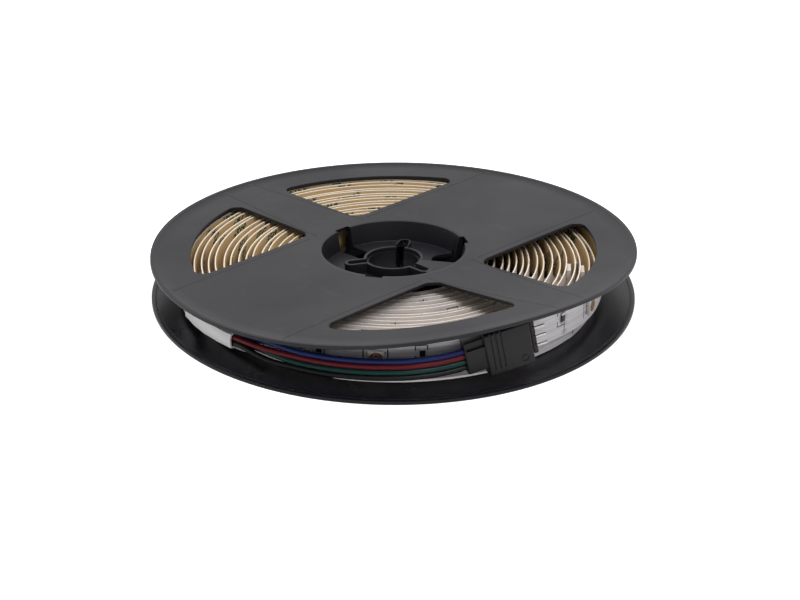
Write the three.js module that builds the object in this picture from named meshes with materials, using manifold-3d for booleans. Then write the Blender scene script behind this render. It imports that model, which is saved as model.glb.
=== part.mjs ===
import * as THREE from 'three';
import { mergeVertices } from 'three/addons/utils/BufferGeometryUtils.js';
import ManifoldModule from 'manifold-3d';

// A plastic reel of LED strip light, in millimetres, +Z up. The lower flange lies on Z = 0 with its
// centre at the origin, and the near side with the lead's connector faces -Y.

// Reel halves
const REEL_RADIUS = 75;
const FLANGE_THICKNESS = 1.2;
const EDGE_CHAMFER = 0.25;
const RING_SIDES = 60;
const FLEX_RINGS = 6;
const BOSS_SIDES = 36;
const LIP_WIDTH = 1.3;
const LIP_HEIGHT = 0.2;
const CLOSED_HEIGHT = 12.4;
const HUB_BORE_RADIUS = 22.2;
const HUB_WALL = 1.2;
const HUB_WALL_LENGTH = 10.4;
const WELL_DRAFT = 1.3;
const WELL_DEPTH = 6.35;
const FLOOR_THICKNESS = 1;
const BARREL_WALL = 1.2;
const SLIDE_GAP = 0.3;
const TOUCH_GAP = 0.3;
const SEAM_WIDTH = 0.4;
const SEAM_DEPTH = 0.18;

// Windows in both flanges: one long bar and one cross bar stay between the four of them
const WINDOW_RADIUS = 62.6;
const LONG_BAR_HALF = 26.7;
const CROSS_BAR_HALF = 9.8;
const WINDOW_TIP_FILLET = 4;
const WINDOW_EDGE_FILLET = 3;
const PATTERN_TURN = -45;
const PANEL_INSET = 2.4;
const RIB_HALF_AT_HUB = 9.9;
const RIB_HALF_AT_RIM = 5.8;

// Keyed boss in the hub, with three lobes
const BOSS_RADIUS = 9.2;
const BOSS_WALL = 0.85;
const BOSS_DROP = 3.2;
const BOSS_LENGTH = 8.2;
const BOSS_STEP = 1.2;
const BOSS_LEDGE = 0.65;
const LOBE_REACH = 15.5;
const LOBE_HALF = 2.15;
const LOBE_ANGLES = [75, 195, 315];

// Three slots through the hub wall, each with an opening in the floor before it
const SLOT_ANGLES = [135, 15, -105];
const SLOT_WIDTH = 5.4;
const OPENINGS = [
  { at: 135, half: 2.7, start: 9.6 },
  { at: 18, half: 4, start: 12.6 },
  { at: -105, half: 2.7, start: 12.6 },
];
const SHELF_FROM = -50;
const SHELF_TO = -14;

// The upper half is pushed up by the connector: it is raised, tilted and its thin flange is flexed,
// by each rise at the flex's own radius
const HUB_RAISE = 2.76;
const SLOPE_X = 0.02;
const SLOPE_Y = -0.036;
const FLEX_RADIUS = 75;
const FLEX_POWER = 1.6;
const FLEXES = [
  { at: -56, width: 25, rise: 4.1 },
  { at: 160, width: 38, rise: 0.8 },
  { at: 42, width: 30, rise: -0.57 },
  { at: -128, width: 20, rise: -0.75 },
];

// Strip roll: a printed circuit ribbon with its release liner, wound outwards counter-clockwise
const STRIP_WIDTH = 9.8;
const STRIP_THICKNESS = 0.5;
const LINER_THICKNESS = 0.3;
const LINER_SHORT = 0.4;
const TURNS = 17.768;
const TURN_PITCH = 2.2243;
const STRIP_END_ANGLE = 206.5;
const LINER_END_ANGLE = 190;
const FACET_LENGTH = 12;
const FACET_ANGLE = 20;
const WAVE_A = 0.22;
const WAVE_B = 0.12;
const END_FLARE = 0.6;
const OUTER_TURN_RAISE = 3.4;
const OUTER_TURN_CREST = 0.8;
const OUTER_TURN_DROP = 1.6;
const END_RAISE = 1.45;
const DISH = 0.9;

// LEDs and chip resistors on the outer turn
const LED_PITCH = 39;
const LED_LENGTH = 5.4;
const LED_WIDTH = 5;
const LED_HEIGHT = 1.2;
const LED_CHAMFER = 0.3;
const FIRST_LED_ANGLE = -129.3;
const LED_COUNT = 9;
const RESISTOR_OFFSETS = [22.2, 13.2];
const RESISTOR_RISE = 1.2;
const RESISTOR_TALL = 3.2;
const RESISTOR_WIDE = 1.6;
const RESISTOR_HEIGHT = 0.55;

// Sleeve over the soldered end, and the four wires of the lead
const SLEEVE_BEYOND_STRIP = 0.7;
const SLEEVE_SPREAD = 20.3;
const SLEEVE_STANDOFF = 1.3;
const SLEEVE_WALL = 0.55;
const SLEEVE_TALL_AT_STRIP = 6.3;
const SLEEVE_THICK_AT_STRIP = 3.2;
const SLEEVE_CENTRE_Z = 8.95;
const SLEEVE_FALL = 0.55;
const SLEEVE_SHRUNK_BY = 0.8;
const SLEEVE_CORNER = 0.4;
const SLEEVE_STEPS = 7;
const WIRE_RADIUS = 0.75;
const WIRE_PITCH = 1.8;
const WIRE_NAMES = ['wire_black', 'wire_green', 'wire_red', 'wire_blue'];
const WIRE_SIDES = 8;
const WIRE_STEPS = 34;
const WIRE_INTO_SLEEVE = 4.5;
const WIRE_INTO_NECK = 2.4;
const WIRE_STACK_DROP = 0.55;
const WIRE_LEAD_IN = 2.5;
const WIRE_STATIONS = [
  [-134, 67.8, 8.4],
  [-129, 67.9, 8.5],
  [-124.5, 68, 8.45],
  [-120, 68.2, 8.35],
  [-115, 68.2, 8.1],
  [-110, 68.2, 7.9],
  [-101, 68.2, 7.8],
  [-91, 68.4, 8],
  [-84, 68.8, 8.5],
];

// In the sleeve the wires lie two by two, [outwards, up] in half pitches; then they rise into one column
const WIRE_BUNDLE = [[1, -1], [-1, -1], [1, 1], [-1, 1]];
const WIRES_RISE = [-132, -120];
const WIRES_ALIGN = [-126, -114];

// Connector: a flat four-way housing with a narrower neck, and a pin header left in its open end
const CONNECTOR_ANGLE = -61.1;
const CONNECTOR_LEAN = 11.4;
const CONNECTOR_SWING = 10.2;
const CONNECTOR_STANDOFF = 2.25;
const HOUSING_LENGTH = 14.2;
const HOUSING_TALL = 13.8;
const HOUSING_THICKNESS = 4.4;
const HOUSING_CENTRE_Z = 11.5;
const HOUSING_CHAMFER = 0.6;
const NECK_LENGTH = 6;
const NECK_TALL = 10.3;
const NECK_THICKNESS = 3.8;
const NECK_RISE = 1.15;
const LATCH_DEPTH = 0.8;
const LATCH_TALL = 2.5;
const LATCH_INSET = 0.4;
const GRIP_COUNT = 3;
const GRIP_PITCH = 1.56;
const GRIP_WIDTH = 0.5;
const GRIP_DEPTH = 0.35;
const GRIP_TALL = 11.6;
const GRIP_START = 1.98;
const MOULD_MARK_RADIUS = 1.2;
const MOULD_MARK_DEPTH = 0.25;
const MOULD_MARK_INSET = 2.9;
const PIN_PITCH = 2.9;
const PIN_COUNT = 4;
const PIN_RISE = 1.6;
const PIN_SIDE = 0.64;
const PIN_OUT = 3.6;
const PIN_IN = 6;
const HEADER_LENGTH = 1.3;
const HEADER_TALL = 11.2;
const HEADER_RISE = 1.2;
const HEADER_THICKNESS = 2.6;
const HEADER_NOTCH = 0.7;
const SOCKET_TALL = 1.1;

const FAR = 60;
const wasm = await ManifoldModule();
wasm.setup();

const radians = THREE.MathUtils.degToRad;
const smooth = THREE.MathUtils.smoothstep;

// Materials
const blackPlastic = { color: 0x1b1b1d, roughness: 0.45, metalness: 0 };
const darkPlastic = { color: 0x171719, roughness: 0.4, metalness: 0 };
const whiteFlex = { color: 0xd9d6da, roughness: 0.4, metalness: 0 };
const kraftPaper = { color: 0xb08c5a, roughness: 0.8, metalness: 0 };
const whiteSleeve = { color: 0xdcdcdc, roughness: 0.5, metalness: 0 };
const ledCase = { color: 0xe6e0d2, roughness: 0.35, metalness: 0 };
const chipBlack = { color: 0x101010, roughness: 0.4, metalness: 0 };
const tinned = { color: 0xb9b7b0, roughness: 0.3, metalness: 1 };
const wireColours = [0x1e1f22, 0x17635c, 0xa3203a, 0x27419b];

// Joining and cutting
function solidOf(geometry) {
  const bare = geometry.clone();
  bare.deleteAttribute('normal');
  bare.deleteAttribute('uv');
  const merged = mergeVertices(bare, 1e-4);
  const vertProperties = new Float32Array(merged.attributes.position.array);
  const triVerts = new Uint32Array(merged.index.array);
  return new wasm.Manifold(new wasm.Mesh({ numProp: 3, vertProperties, triVerts }));
}

function geometryOf(solid) {
  const mesh = solid.getMesh();
  const geometry = new THREE.BufferGeometry();
  geometry.setAttribute('position', new THREE.BufferAttribute(mesh.vertProperties, 3));
  geometry.setIndex(new THREE.BufferAttribute(mesh.triVerts, 1));
  geometry.computeVertexNormals();
  return geometry;
}

function joined(solids) {
  return solids.reduce((sum, next) => sum.add(next));
}

function cut(solid, tools) {
  return tools.reduce((left, tool) => left.subtract(tool), solid);
}

// Placing
function polar(radius, degrees, z) {
  return new THREE.Vector3(radius * Math.cos(radians(degrees)), radius * Math.sin(radians(degrees)), z);
}

function box(sizeX, sizeY, sizeZ, x, y, z) {
  return new THREE.BoxGeometry(sizeX, sizeY, sizeZ).translate(x, y, z);
}

function radialBox(from, to, width, low, high, degrees) {
  return box(to - from, width, high - low, (from + to) / 2, 0, (low + high) / 2).rotateZ(radians(degrees));
}

function uprightCylinder(radius, low, high, sides) {
  return new THREE.CylinderGeometry(radius, radius, high - low, sides)
    .rotateX(Math.PI / 2)
    .translate(0, 0, (low + high) / 2);
}

function ring(profile, sides) {
  const points = profile.map(([radius, z]) => new THREE.Vector2(radius, z));
  points.push(points[0].clone());
  return new THREE.LatheGeometry(points, sides).rotateX(Math.PI / 2);
}

function prism(points, low, high) {
  const shape = new THREE.Shape(points);
  return new THREE.ExtrudeGeometry(shape, { depth: high - low, bevelEnabled: false }).translate(0, 0, low);
}

function arcPoints(centre, radius, from, to, count) {
  const points = [];
  for (let i = 0; i <= count; i += 1) {
    const angle = radians(from + ((to - from) * i) / count);
    points.push(new THREE.Vector2(centre.x + radius * Math.cos(angle), centre.y + radius * Math.sin(angle)));
  }
  return points;
}

// A closed body through like sections, each a ring of corners in the same order
function loft(sections) {
  const corners = sections[0].length;
  const positions = sections.flat().flatMap((point) => point.toArray());
  const index = [];
  for (let s = 0; s + 1 < sections.length; s += 1) {
    for (let c = 0; c < corners; c += 1) {
      const a = s * corners + c;
      const b = s * corners + ((c + 1) % corners);
      index.push(a, b, b + corners, a, b + corners, a + corners);
    }
  }
  const last = (sections.length - 1) * corners;
  for (let c = 1; c + 1 < corners; c += 1) {
    index.push(0, c + 1, c, last, last + c, last + c + 1);
  }
  const geometry = new THREE.BufferGeometry();
  geometry.setAttribute('position', new THREE.Float32BufferAttribute(positions, 3));
  geometry.setIndex(index);
  return geometry;
}

// How far the upper half stands above its closed place
function raiseAt(x, y) {
  const radius = Math.hypot(x, y);
  const degrees = THREE.MathUtils.radToDeg(Math.atan2(y, x));
  const outward = Math.max(0, (radius - HUB_BORE_RADIUS) / (FLEX_RADIUS - HUB_BORE_RADIUS));
  const flex = FLEXES.reduce((sum, { at, width, rise }) => {
    const away = THREE.MathUtils.euclideanModulo(degrees - at + 180, 360) - 180;
    return sum + rise * Math.exp(-0.5 * (away / width) ** 2);
  }, 0);
  return HUB_RAISE + SLOPE_X * x + SLOPE_Y * y + flex * outward ** FLEX_POWER;
}

function raised(geometry) {
  const position = geometry.attributes.position;
  for (let i = 0; i < position.count; i += 1) {
    position.setZ(i, position.getZ(i) + raiseAt(position.getX(i), position.getY(i)));
  }
  return geometry;
}

// Flanges
function flange(top, sides, rings) {
  const low = top - FLANGE_THICKNESS;
  const shelf = top - LIP_HEIGHT;
  const lipStart = REEL_RADIUS - EDGE_CHAMFER - LIP_WIDTH;
  const radii = [];
  for (let i = 0; i < rings; i += 1) {
    radii.push(HUB_BORE_RADIUS + ((lipStart - LIP_HEIGHT - HUB_BORE_RADIUS) * i) / (rings - 1));
  }
  const profile = radii.map((radius) => [radius, low]);
  profile.push([REEL_RADIUS - EDGE_CHAMFER, low]);
  profile.push([REEL_RADIUS, low + EDGE_CHAMFER]);
  profile.push([REEL_RADIUS, top - EDGE_CHAMFER]);
  profile.push([REEL_RADIUS - EDGE_CHAMFER, top]);
  profile.push([lipStart, top]);
  radii.reverse().forEach((radius) => profile.push([radius, shelf]));
  return ring(profile, sides);
}

// From the windows' own axes, across and along the long bar, to X and Y
function onPattern(across, along) {
  const turn = radians(PATTERN_TURN);
  return new THREE.Vector2(
    across * Math.cos(turn) - along * Math.sin(turn),
    across * Math.sin(turn) + along * Math.cos(turn),
  );
}

function windowOutline(sideAcross, sideAlong) {
  const tip = WINDOW_TIP_FILLET;
  const edge = WINDOW_EDGE_FILLET;
  const inner = WINDOW_RADIUS - edge;
  const acrossCorner = new THREE.Vector2(Math.sqrt(inner ** 2 - (CROSS_BAR_HALF + edge) ** 2), CROSS_BAR_HALF + edge);
  const alongCorner = new THREE.Vector2(LONG_BAR_HALF + edge, Math.sqrt(inner ** 2 - (LONG_BAR_HALF + edge) ** 2));
  const tipCentre = new THREE.Vector2(LONG_BAR_HALF + tip, CROSS_BAR_HALF + tip);
  const from = THREE.MathUtils.radToDeg(acrossCorner.angle());
  const to = THREE.MathUtils.radToDeg(alongCorner.angle());
  const outline = [
    ...arcPoints(tipCentre, tip, 180, 270, 4),
    ...arcPoints(acrossCorner, edge, -90, from, 3),
    ...arcPoints(new THREE.Vector2(), WINDOW_RADIUS, from + 5, to - 5, 7),
    ...arcPoints(alongCorner, edge, to, 180, 3),
  ];
  return outline.map((point) => onPattern(sideAcross * point.x, sideAlong * point.y));
}

function windowTools() {
  const tools = [];
  for (const sideAcross of [-1, 1]) {
    for (const sideAlong of [-1, 1]) {
      tools.push(solidOf(prism(windowOutline(sideAcross, sideAlong), -FAR, FAR)));
    }
  }
  return tools;
}

// A shallow groove in the upper flange's face, which follows its flex
function seamTool(start, end) {
  const length = start.distanceTo(end);
  const steps = Math.ceil(length / 9);
  const groove = new THREE.BoxGeometry(length, SEAM_WIDTH, 2 * SEAM_DEPTH, steps, 1, 1);
  groove.rotateZ(Math.atan2(end.y - start.y, end.x - start.x));
  groove.translate((start.x + end.x) / 2, (start.y + end.y) / 2, CLOSED_HEIGHT - LIP_HEIGHT);
  return solidOf(raised(groove));
}

function seamTools() {
  const panelHalf = LONG_BAR_HALF - PANEL_INSET;
  const panelEnd = CROSS_BAR_HALF + PANEL_INSET;
  const rim = REEL_RADIUS - LIP_WIDTH - 1;
  const hub = HUB_BORE_RADIUS + HUB_WALL;
  const tools = [];
  for (const along of [-1, 1]) {
    for (const across of [-1, 1]) {
      const corner = onPattern(across * panelHalf, along * panelEnd);
      const edgeEnd = onPattern(across * panelHalf, along * Math.sqrt(rim ** 2 - panelHalf ** 2));
      tools.push(seamTool(corner, edgeEnd));
      const ribStart = onPattern(across * hub, along * RIB_HALF_AT_HUB);
      const ribEnd = onPattern(across * Math.sqrt(rim ** 2 - RIB_HALF_AT_RIM ** 2), along * RIB_HALF_AT_RIM);
      tools.push(seamTool(ribStart, ribEnd));
    }
  }
  return tools;
}

// Keyed outline of the boss, as a solid from low to high
function keyed(radius, reach, half, low, high) {
  const lobes = LOBE_ANGLES.flatMap((angle) => [
    solidOf(raised(radialBox(0, reach - half, 2 * half, low, high, angle))),
    solidOf(raised(uprightCylinder(half, low, high, 12).translate(reach - half, 0, 0).rotateZ(radians(angle)))),
  ]);
  return joined([solidOf(raised(uprightCylinder(radius, low, high, BOSS_SIDES))), ...lobes]);
}

function upperHalf() {
  const top = CLOSED_HEIGHT;
  const shelf = top - LIP_HEIGHT;
  const floorTop = shelf - WELL_DEPTH;
  const floorLow = floorTop - FLOOR_THICKNESS;
  const wallOut = HUB_BORE_RADIUS + HUB_WALL;
  const floorEdge = HUB_BORE_RADIUS - WELL_DRAFT;
  const wallLow = shelf - HUB_WALL_LENGTH;
  const wall = ring([
    [HUB_BORE_RADIUS, wallLow],
    [wallOut, wallLow],
    [wallOut, shelf - FLANGE_THICKNESS / 2],
    [HUB_BORE_RADIUS, shelf - FLANGE_THICKNESS / 2],
    [floorEdge, floorTop],
    [floorEdge, floorLow],
    [HUB_BORE_RADIUS, floorLow],
  ], RING_SIDES);
  const floor = ring([
    [BOSS_RADIUS - BOSS_WALL / 2, floorLow],
    [floorEdge + BOSS_WALL, floorLow],
    [floorEdge + BOSS_WALL / 2, floorTop],
    [BOSS_RADIUS - BOSS_WALL / 2, floorTop],
  ], RING_SIDES);
  const openings = OPENINGS.flatMap(({ at, half, start }) => {
    const low = floorLow - 1;
    const high = shelf - BOSS_DROP + 1;
    return [
      solidOf(raised(radialBox(start + half, floorEdge, 2 * half, low, high, at))),
      solidOf(raised(uprightCylinder(half, low, high, 16).translate(start + half, 0, 0).rotateZ(radians(at)))),
    ];
  });
  const bossTop = shelf - BOSS_DROP;
  const bossLow = bossTop - BOSS_LENGTH;
  const boss = keyed(BOSS_RADIUS, LOBE_REACH, LOBE_HALF, bossLow, bossTop);
  const bore = keyed(
    BOSS_RADIUS - BOSS_WALL - BOSS_LEDGE,
    LOBE_REACH - BOSS_WALL,
    LOBE_HALF - BOSS_WALL,
    bossLow - 1,
    bossTop + 1,
  );
  const mouth = solidOf(raised(uprightCylinder(BOSS_RADIUS - BOSS_WALL, bossTop - BOSS_STEP, bossTop + 1, BOSS_SIDES)));
  const slots = SLOT_ANGLES.map((angle) =>
    solidOf(raised(radialBox(floorEdge - 1, wallOut + 0.05, SLOT_WIDTH, wallLow - 1, top + 1, angle))));
  const plate = cut(solidOf(raised(flange(top, RING_SIDES, FLEX_RINGS))), [...windowTools(), ...seamTools()]);
  const step = solidOf(raised(prism([
    ...arcPoints(new THREE.Vector2(), floorEdge + BOSS_WALL, SHELF_FROM, SHELF_TO, 8),
    ...arcPoints(new THREE.Vector2(), BOSS_RADIUS - BOSS_WALL / 2, SHELF_TO, SHELF_FROM, 6),
  ], floorTop - FLOOR_THICKNESS / 2, bossTop)));
  const web = cut(solidOf(raised(floor)).add(step), openings);
  const body = joined([plate, solidOf(raised(wall)), web, boss]);
  return geometryOf(cut(body, [bore, mouth, ...slots]));
}

function lowerHalf() {
  const wallIn = HUB_BORE_RADIUS + HUB_WALL + SLIDE_GAP;
  const wallOut = wallIn + BARREL_WALL;
  const barrelTop = CLOSED_HEIGHT - 2 * LIP_HEIGHT - FLANGE_THICKNESS;
  const low = FLANGE_THICKNESS / 2;
  const barrel = ring([[wallIn, low], [wallOut, low], [wallOut, barrelTop], [wallIn, barrelTop]], RING_SIDES);
  const slots = SLOT_ANGLES.map((angle) =>
    solidOf(radialBox(wallIn - 0.1, wallOut + 1, SLOT_WIDTH, FLANGE_THICKNESS, barrelTop + 1, angle)));
  const plate = cut(solidOf(flange(FLANGE_THICKNESS, RING_SIDES, 2)), windowTools());
  return geometryOf(joined([plate, cut(solidOf(barrel), slots)]));
}

// Path of the strip's middle, by its angle in degrees counted on from turn to turn
const rollBase = FLANGE_THICKNESS + TOUCH_GAP;
const barrelRadius = HUB_BORE_RADIUS + HUB_WALL + SLIDE_GAP + BARREL_WALL;
const linerOffset = STRIP_THICKNESS / 2 + TOUCH_GAP + LINER_THICKNESS / 2;
const rollStart = barrelRadius + TOUCH_GAP + LINER_THICKNESS / 2 + linerOffset + WAVE_A + WAVE_B;
const stripStartAngle = STRIP_END_ANGLE - 360 * TURNS;

function stripRadius(degrees) {
  const turn = (degrees - stripStartAngle) / 360;
  const waves = WAVE_A * Math.sin(2 * radians(degrees) + 0.6 * turn) + WAVE_B * Math.sin(3 * radians(degrees) - turn);
  const flare = END_FLARE * smooth(degrees, STRIP_END_ANGLE - 45, STRIP_END_ANGLE - 8);
  return rollStart + TURN_PITCH * turn + waves * smooth(STRIP_END_ANGLE - degrees, 0, 80) + flare;
}

function stripRaise(degrees) {
  const kept = OUTER_TURN_RAISE + OUTER_TURN_CREST - OUTER_TURN_DROP;
  const rise = OUTER_TURN_RAISE * smooth(degrees, -150, -105) + OUTER_TURN_CREST * smooth(degrees, -90, -55);
  const fall = OUTER_TURN_DROP * smooth(degrees, -46, -20) + kept * smooth(degrees, -20, 50);
  const inner = Math.max(0, 1 - (degrees - stripStartAngle) / (360 * (TURNS - 1)));
  const dish = DISH * inner * (0.5 - 0.5 * Math.sin(radians(degrees)));
  return rise - fall + END_RAISE * smooth(degrees, 140, 195) + dish;
}

function ribbonSection(degrees, offset, thickness, shorter) {
  const radius = stripRadius(degrees) + offset;
  const low = rollBase + stripRaise(degrees) + shorter / 2;
  const high = low + STRIP_WIDTH - shorter;
  return [
    polar(radius - thickness / 2, degrees, low),
    polar(radius - thickness / 2, degrees, high),
    polar(radius + thickness / 2, degrees, high),
    polar(radius + thickness / 2, degrees, low),
  ];
}

function ribbon(offset, thickness, shorter, endAngle) {
  const sections = [];
  let degrees = stripStartAngle;
  while (degrees < endAngle - 1) {
    sections.push(ribbonSection(degrees, offset, thickness, shorter));
    const step = THREE.MathUtils.radToDeg(FACET_LENGTH / stripRadius(degrees));
    degrees += Math.min(FACET_ANGLE, step);
  }
  sections.push(ribbonSection(endAngle, offset, thickness, shorter));
  return loft(sections);
}

// Places on the strip's outer face, with Y along the strip and X outwards
function onStrip(group, degrees, height, rise) {
  const radius = stripRadius(degrees) + STRIP_THICKNESS / 2 + TOUCH_GAP + height / 2;
  const ahead = polar(stripRadius(degrees + 2), degrees + 2, 0);
  const behind = polar(stripRadius(degrees - 2), degrees - 2, 0);
  const place = polar(radius, degrees, rollBase + stripRaise(degrees) + STRIP_WIDTH / 2 + rise);
  group.position.copy(place);
  group.rotation.z = Math.atan2(ahead.y - behind.y, ahead.x - behind.x) - Math.PI / 2;
  return group;
}

function ledGeometry() {
  const c = LED_CHAMFER;
  const halfY = LED_LENGTH / 2;
  const halfZ = LED_WIDTH / 2;
  const outline = [
    new THREE.Vector2(-halfY, -halfZ),
    new THREE.Vector2(halfY, -halfZ),
    new THREE.Vector2(halfY, halfZ - 2 * c),
    new THREE.Vector2(halfY - 2 * c, halfZ),
    new THREE.Vector2(-halfY, halfZ),
  ];
  const shape = new THREE.Shape(outline);
  const body = new THREE.ExtrudeGeometry(shape, { depth: LED_HEIGHT, bevelEnabled: false });
  body.rotateX(Math.PI / 2);
  body.rotateZ(Math.PI / 2);
  return body.translate(-LED_HEIGHT / 2, 0, 0);
}

// Sleeve: an open flat tube that shrinks from the strip's end to the wires
const wireStackTall = (WIRE_NAMES.length - 1) * WIRE_PITCH + 2 * WIRE_RADIUS;
const bundleThick = WIRE_PITCH + 2 * (WIRE_RADIUS + TOUCH_GAP + SLEEVE_WALL);
const sleeveStart = STRIP_END_ANGLE + SLEEVE_BEYOND_STRIP;
const sleeveEnd = sleeveStart + SLEEVE_SPREAD;
const sleeveRadius = stripRadius(STRIP_END_ANGLE) + SLEEVE_STANDOFF;

function sleeveSection(share, wall, beyond) {
  const degrees = THREE.MathUtils.lerp(sleeveStart, sleeveEnd, share) + beyond;
  const shrunk = smooth(share, 0, SLEEVE_SHRUNK_BY);
  const tall = THREE.MathUtils.lerp(SLEEVE_TALL_AT_STRIP, bundleThick, shrunk) / 2 - wall;
  const thick = THREE.MathUtils.lerp(SLEEVE_THICK_AT_STRIP, bundleThick, shrunk) / 2 - wall;
  const centreZ = SLEEVE_CENTRE_Z - SLEEVE_FALL * shrunk;
  const corner = Math.min(thick, tall) * SLEEVE_CORNER;
  return [
    polar(sleeveRadius - thick, degrees, centreZ - tall + corner),
    polar(sleeveRadius - thick, degrees, centreZ + tall - corner),
    polar(sleeveRadius - thick + corner, degrees, centreZ + tall),
    polar(sleeveRadius + thick - corner, degrees, centreZ + tall),
    polar(sleeveRadius + thick, degrees, centreZ + tall - corner),
    polar(sleeveRadius + thick, degrees, centreZ - tall + corner),
    polar(sleeveRadius + thick - corner, degrees, centreZ - tall),
    polar(sleeveRadius - thick + corner, degrees, centreZ - tall),
  ];
}

function sleeve() {
  const outer = [];
  const inner = [];
  for (let i = 0; i <= SLEEVE_STEPS; i += 1) {
    const share = i / SLEEVE_STEPS;
    const beyond = i === 0 ? -1 : i === SLEEVE_STEPS ? 1 : 0;
    outer.push(sleeveSection(share, 0, 0));
    inner.push(sleeveSection(share, SLEEVE_WALL, beyond));
  }
  return geometryOf(solidOf(loft(outer)).subtract(solidOf(loft(inner))));
}

// Connector's own frame: X along the lead towards the pins, Y to the reel, Z up, origin on its inner face
const connector = new THREE.Group();
const connectorRadius = stripRadius(CONNECTOR_ANGLE) + CONNECTOR_STANDOFF;
connector.position.copy(polar(connectorRadius, CONNECTOR_ANGLE, HOUSING_CENTRE_Z));
connector.rotation.set(0, -radians(CONNECTOR_LEAN), radians(CONNECTOR_ANGLE + 90 - CONNECTOR_SWING), 'ZYX');
connector.updateMatrixWorld();

const housingEnd = HOUSING_LENGTH / 2;
const neckEnd = housingEnd + NECK_LENGTH;
const wireDepth = NECK_THICKNESS / 2;
const pinDepth = HOUSING_THICKNESS / 2;

// A plate with its inner face on Y = 0 and its four outline corners cut off
function cornerPlate(from, to, low, high, thickness, chamfer) {
  const points = [
    [from + chamfer, low],
    [to - chamfer, low],
    [to, low + chamfer],
    [to, high - chamfer],
    [to - chamfer, high],
    [from + chamfer, high],
    [from, high - chamfer],
    [from, low + chamfer],
  ];
  const shape = new THREE.Shape(points.map(([x, y]) => new THREE.Vector2(x, y)));
  return new THREE.ExtrudeGeometry(shape, { depth: thickness, bevelEnabled: false }).rotateX(Math.PI / 2);
}

function pinHeights() {
  return Array.from({ length: PIN_COUNT }, (_, i) => PIN_RISE + (i - (PIN_COUNT - 1) / 2) * PIN_PITCH);
}

function housing() {
  const tall = HOUSING_TALL / 2;
  const body = solidOf(cornerPlate(-housingEnd, housingEnd, -tall, tall, HOUSING_THICKNESS, HOUSING_CHAMFER));
  const neckLow = NECK_RISE - NECK_TALL / 2;
  const neckHigh = neckLow + NECK_TALL;
  const neckTo = HOUSING_CHAMFER - housingEnd;
  const neck = solidOf(cornerPlate(-neckEnd, neckTo, neckLow, neckHigh, NECK_THICKNESS, HOUSING_CHAMFER / 2));
  const tools = pinHeights().map((z) =>
    box(PIN_IN + 2 * TOUCH_GAP, SOCKET_TALL, SOCKET_TALL, housingEnd - PIN_IN / 2, -pinDepth, z));
  const slotTall = wireStackTall + 2 * TOUCH_GAP;
  const slotWide = 2 * (WIRE_RADIUS + TOUCH_GAP);
  const slotLong = 2 * (WIRE_INTO_NECK + TOUCH_GAP);
  tools.push(box(slotLong, slotWide, slotTall, -neckEnd, -wireDepth, NECK_RISE - WIRE_STACK_DROP));
  const latchLength = NECK_LENGTH - LATCH_INSET;
  const latchAt = -housingEnd - latchLength / 2;
  const latchZ = neckHigh - LATCH_INSET - LATCH_TALL / 2;
  tools.push(box(latchLength, 2 * LATCH_DEPTH, LATCH_TALL, latchAt, -NECK_THICKNESS, latchZ));
  for (let i = 0; i < GRIP_COUNT; i += 1) {
    const at = GRIP_START + i * GRIP_PITCH - housingEnd;
    tools.push(box(GRIP_WIDTH, 2 * GRIP_DEPTH, GRIP_TALL, at, -HOUSING_THICKNESS, tall - GRIP_TALL / 2));
  }
  const mark = uprightCylinder(MOULD_MARK_RADIUS, -MOULD_MARK_DEPTH, MOULD_MARK_DEPTH, 16)
    .rotateX(Math.PI / 2)
    .translate(housingEnd - MOULD_MARK_INSET, -HOUSING_THICKNESS, MOULD_MARK_INSET - tall);
  tools.push(mark);
  return geometryOf(cut(body.add(neck), tools.map(solidOf)));
}

function header() {
  const from = housingEnd + TOUCH_GAP;
  const middle = from + HEADER_LENGTH / 2;
  const block = solidOf(box(HEADER_LENGTH, HEADER_THICKNESS, HEADER_TALL, middle, -pinDepth, HEADER_RISE));
  const hole = PIN_SIDE + 2 * TOUCH_GAP;
  const holes = pinHeights().map((z) => box(HEADER_LENGTH + 1, hole, hole, middle, -pinDepth, z));
  const notches = pinHeights().slice(1).map((z) =>
    box(2 * HEADER_NOTCH, HEADER_NOTCH, HEADER_NOTCH, from + HEADER_LENGTH, -pinDepth - HEADER_THICKNESS / 2,
      z - PIN_PITCH / 2));
  return geometryOf(cut(block, [...holes, ...notches].map(solidOf)));
}

function pin(z) {
  const length = PIN_IN + TOUCH_GAP + HEADER_LENGTH + PIN_OUT;
  return box(length, PIN_SIDE, PIN_SIDE, housingEnd - PIN_IN + length / 2, -pinDepth, z);
}

// Route of one wire: out of the sleeve, round beside the outer turn and into the connector's neck
function wireStation(row, angle, radius, z) {
  const [outwards, up] = WIRE_BUNDLE[row].map((half) => (half * WIRE_PITCH) / 2);
  const rise = (row - (WIRE_NAMES.length - 1) / 2) * WIRE_PITCH;
  const aligned = smooth(angle, ...WIRES_ALIGN);
  const height = THREE.MathUtils.lerp(up, rise, smooth(angle, ...WIRES_RISE));
  return polar(radius + outwards * (1 - aligned), angle, z + height);
}

function wirePath(row) {
  const into = sleeveEnd - 360 - THREE.MathUtils.radToDeg(WIRE_INTO_SLEEVE / sleeveRadius);
  const points = [wireStation(row, into, sleeveRadius, SLEEVE_CENTRE_Z - SLEEVE_FALL)];
  WIRE_STATIONS.forEach((station) => points.push(wireStation(row, ...station)));
  const rise = NECK_RISE - WIRE_STACK_DROP + (row - (WIRE_NAMES.length - 1) / 2) * WIRE_PITCH;
  [-WIRE_LEAD_IN, WIRE_INTO_NECK].forEach((x) => {
    points.push(connector.localToWorld(new THREE.Vector3(x - neckEnd, -wireDepth, rise)));
  });
  return new THREE.CatmullRomCurve3(points, false, 'centripetal');
}

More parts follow.
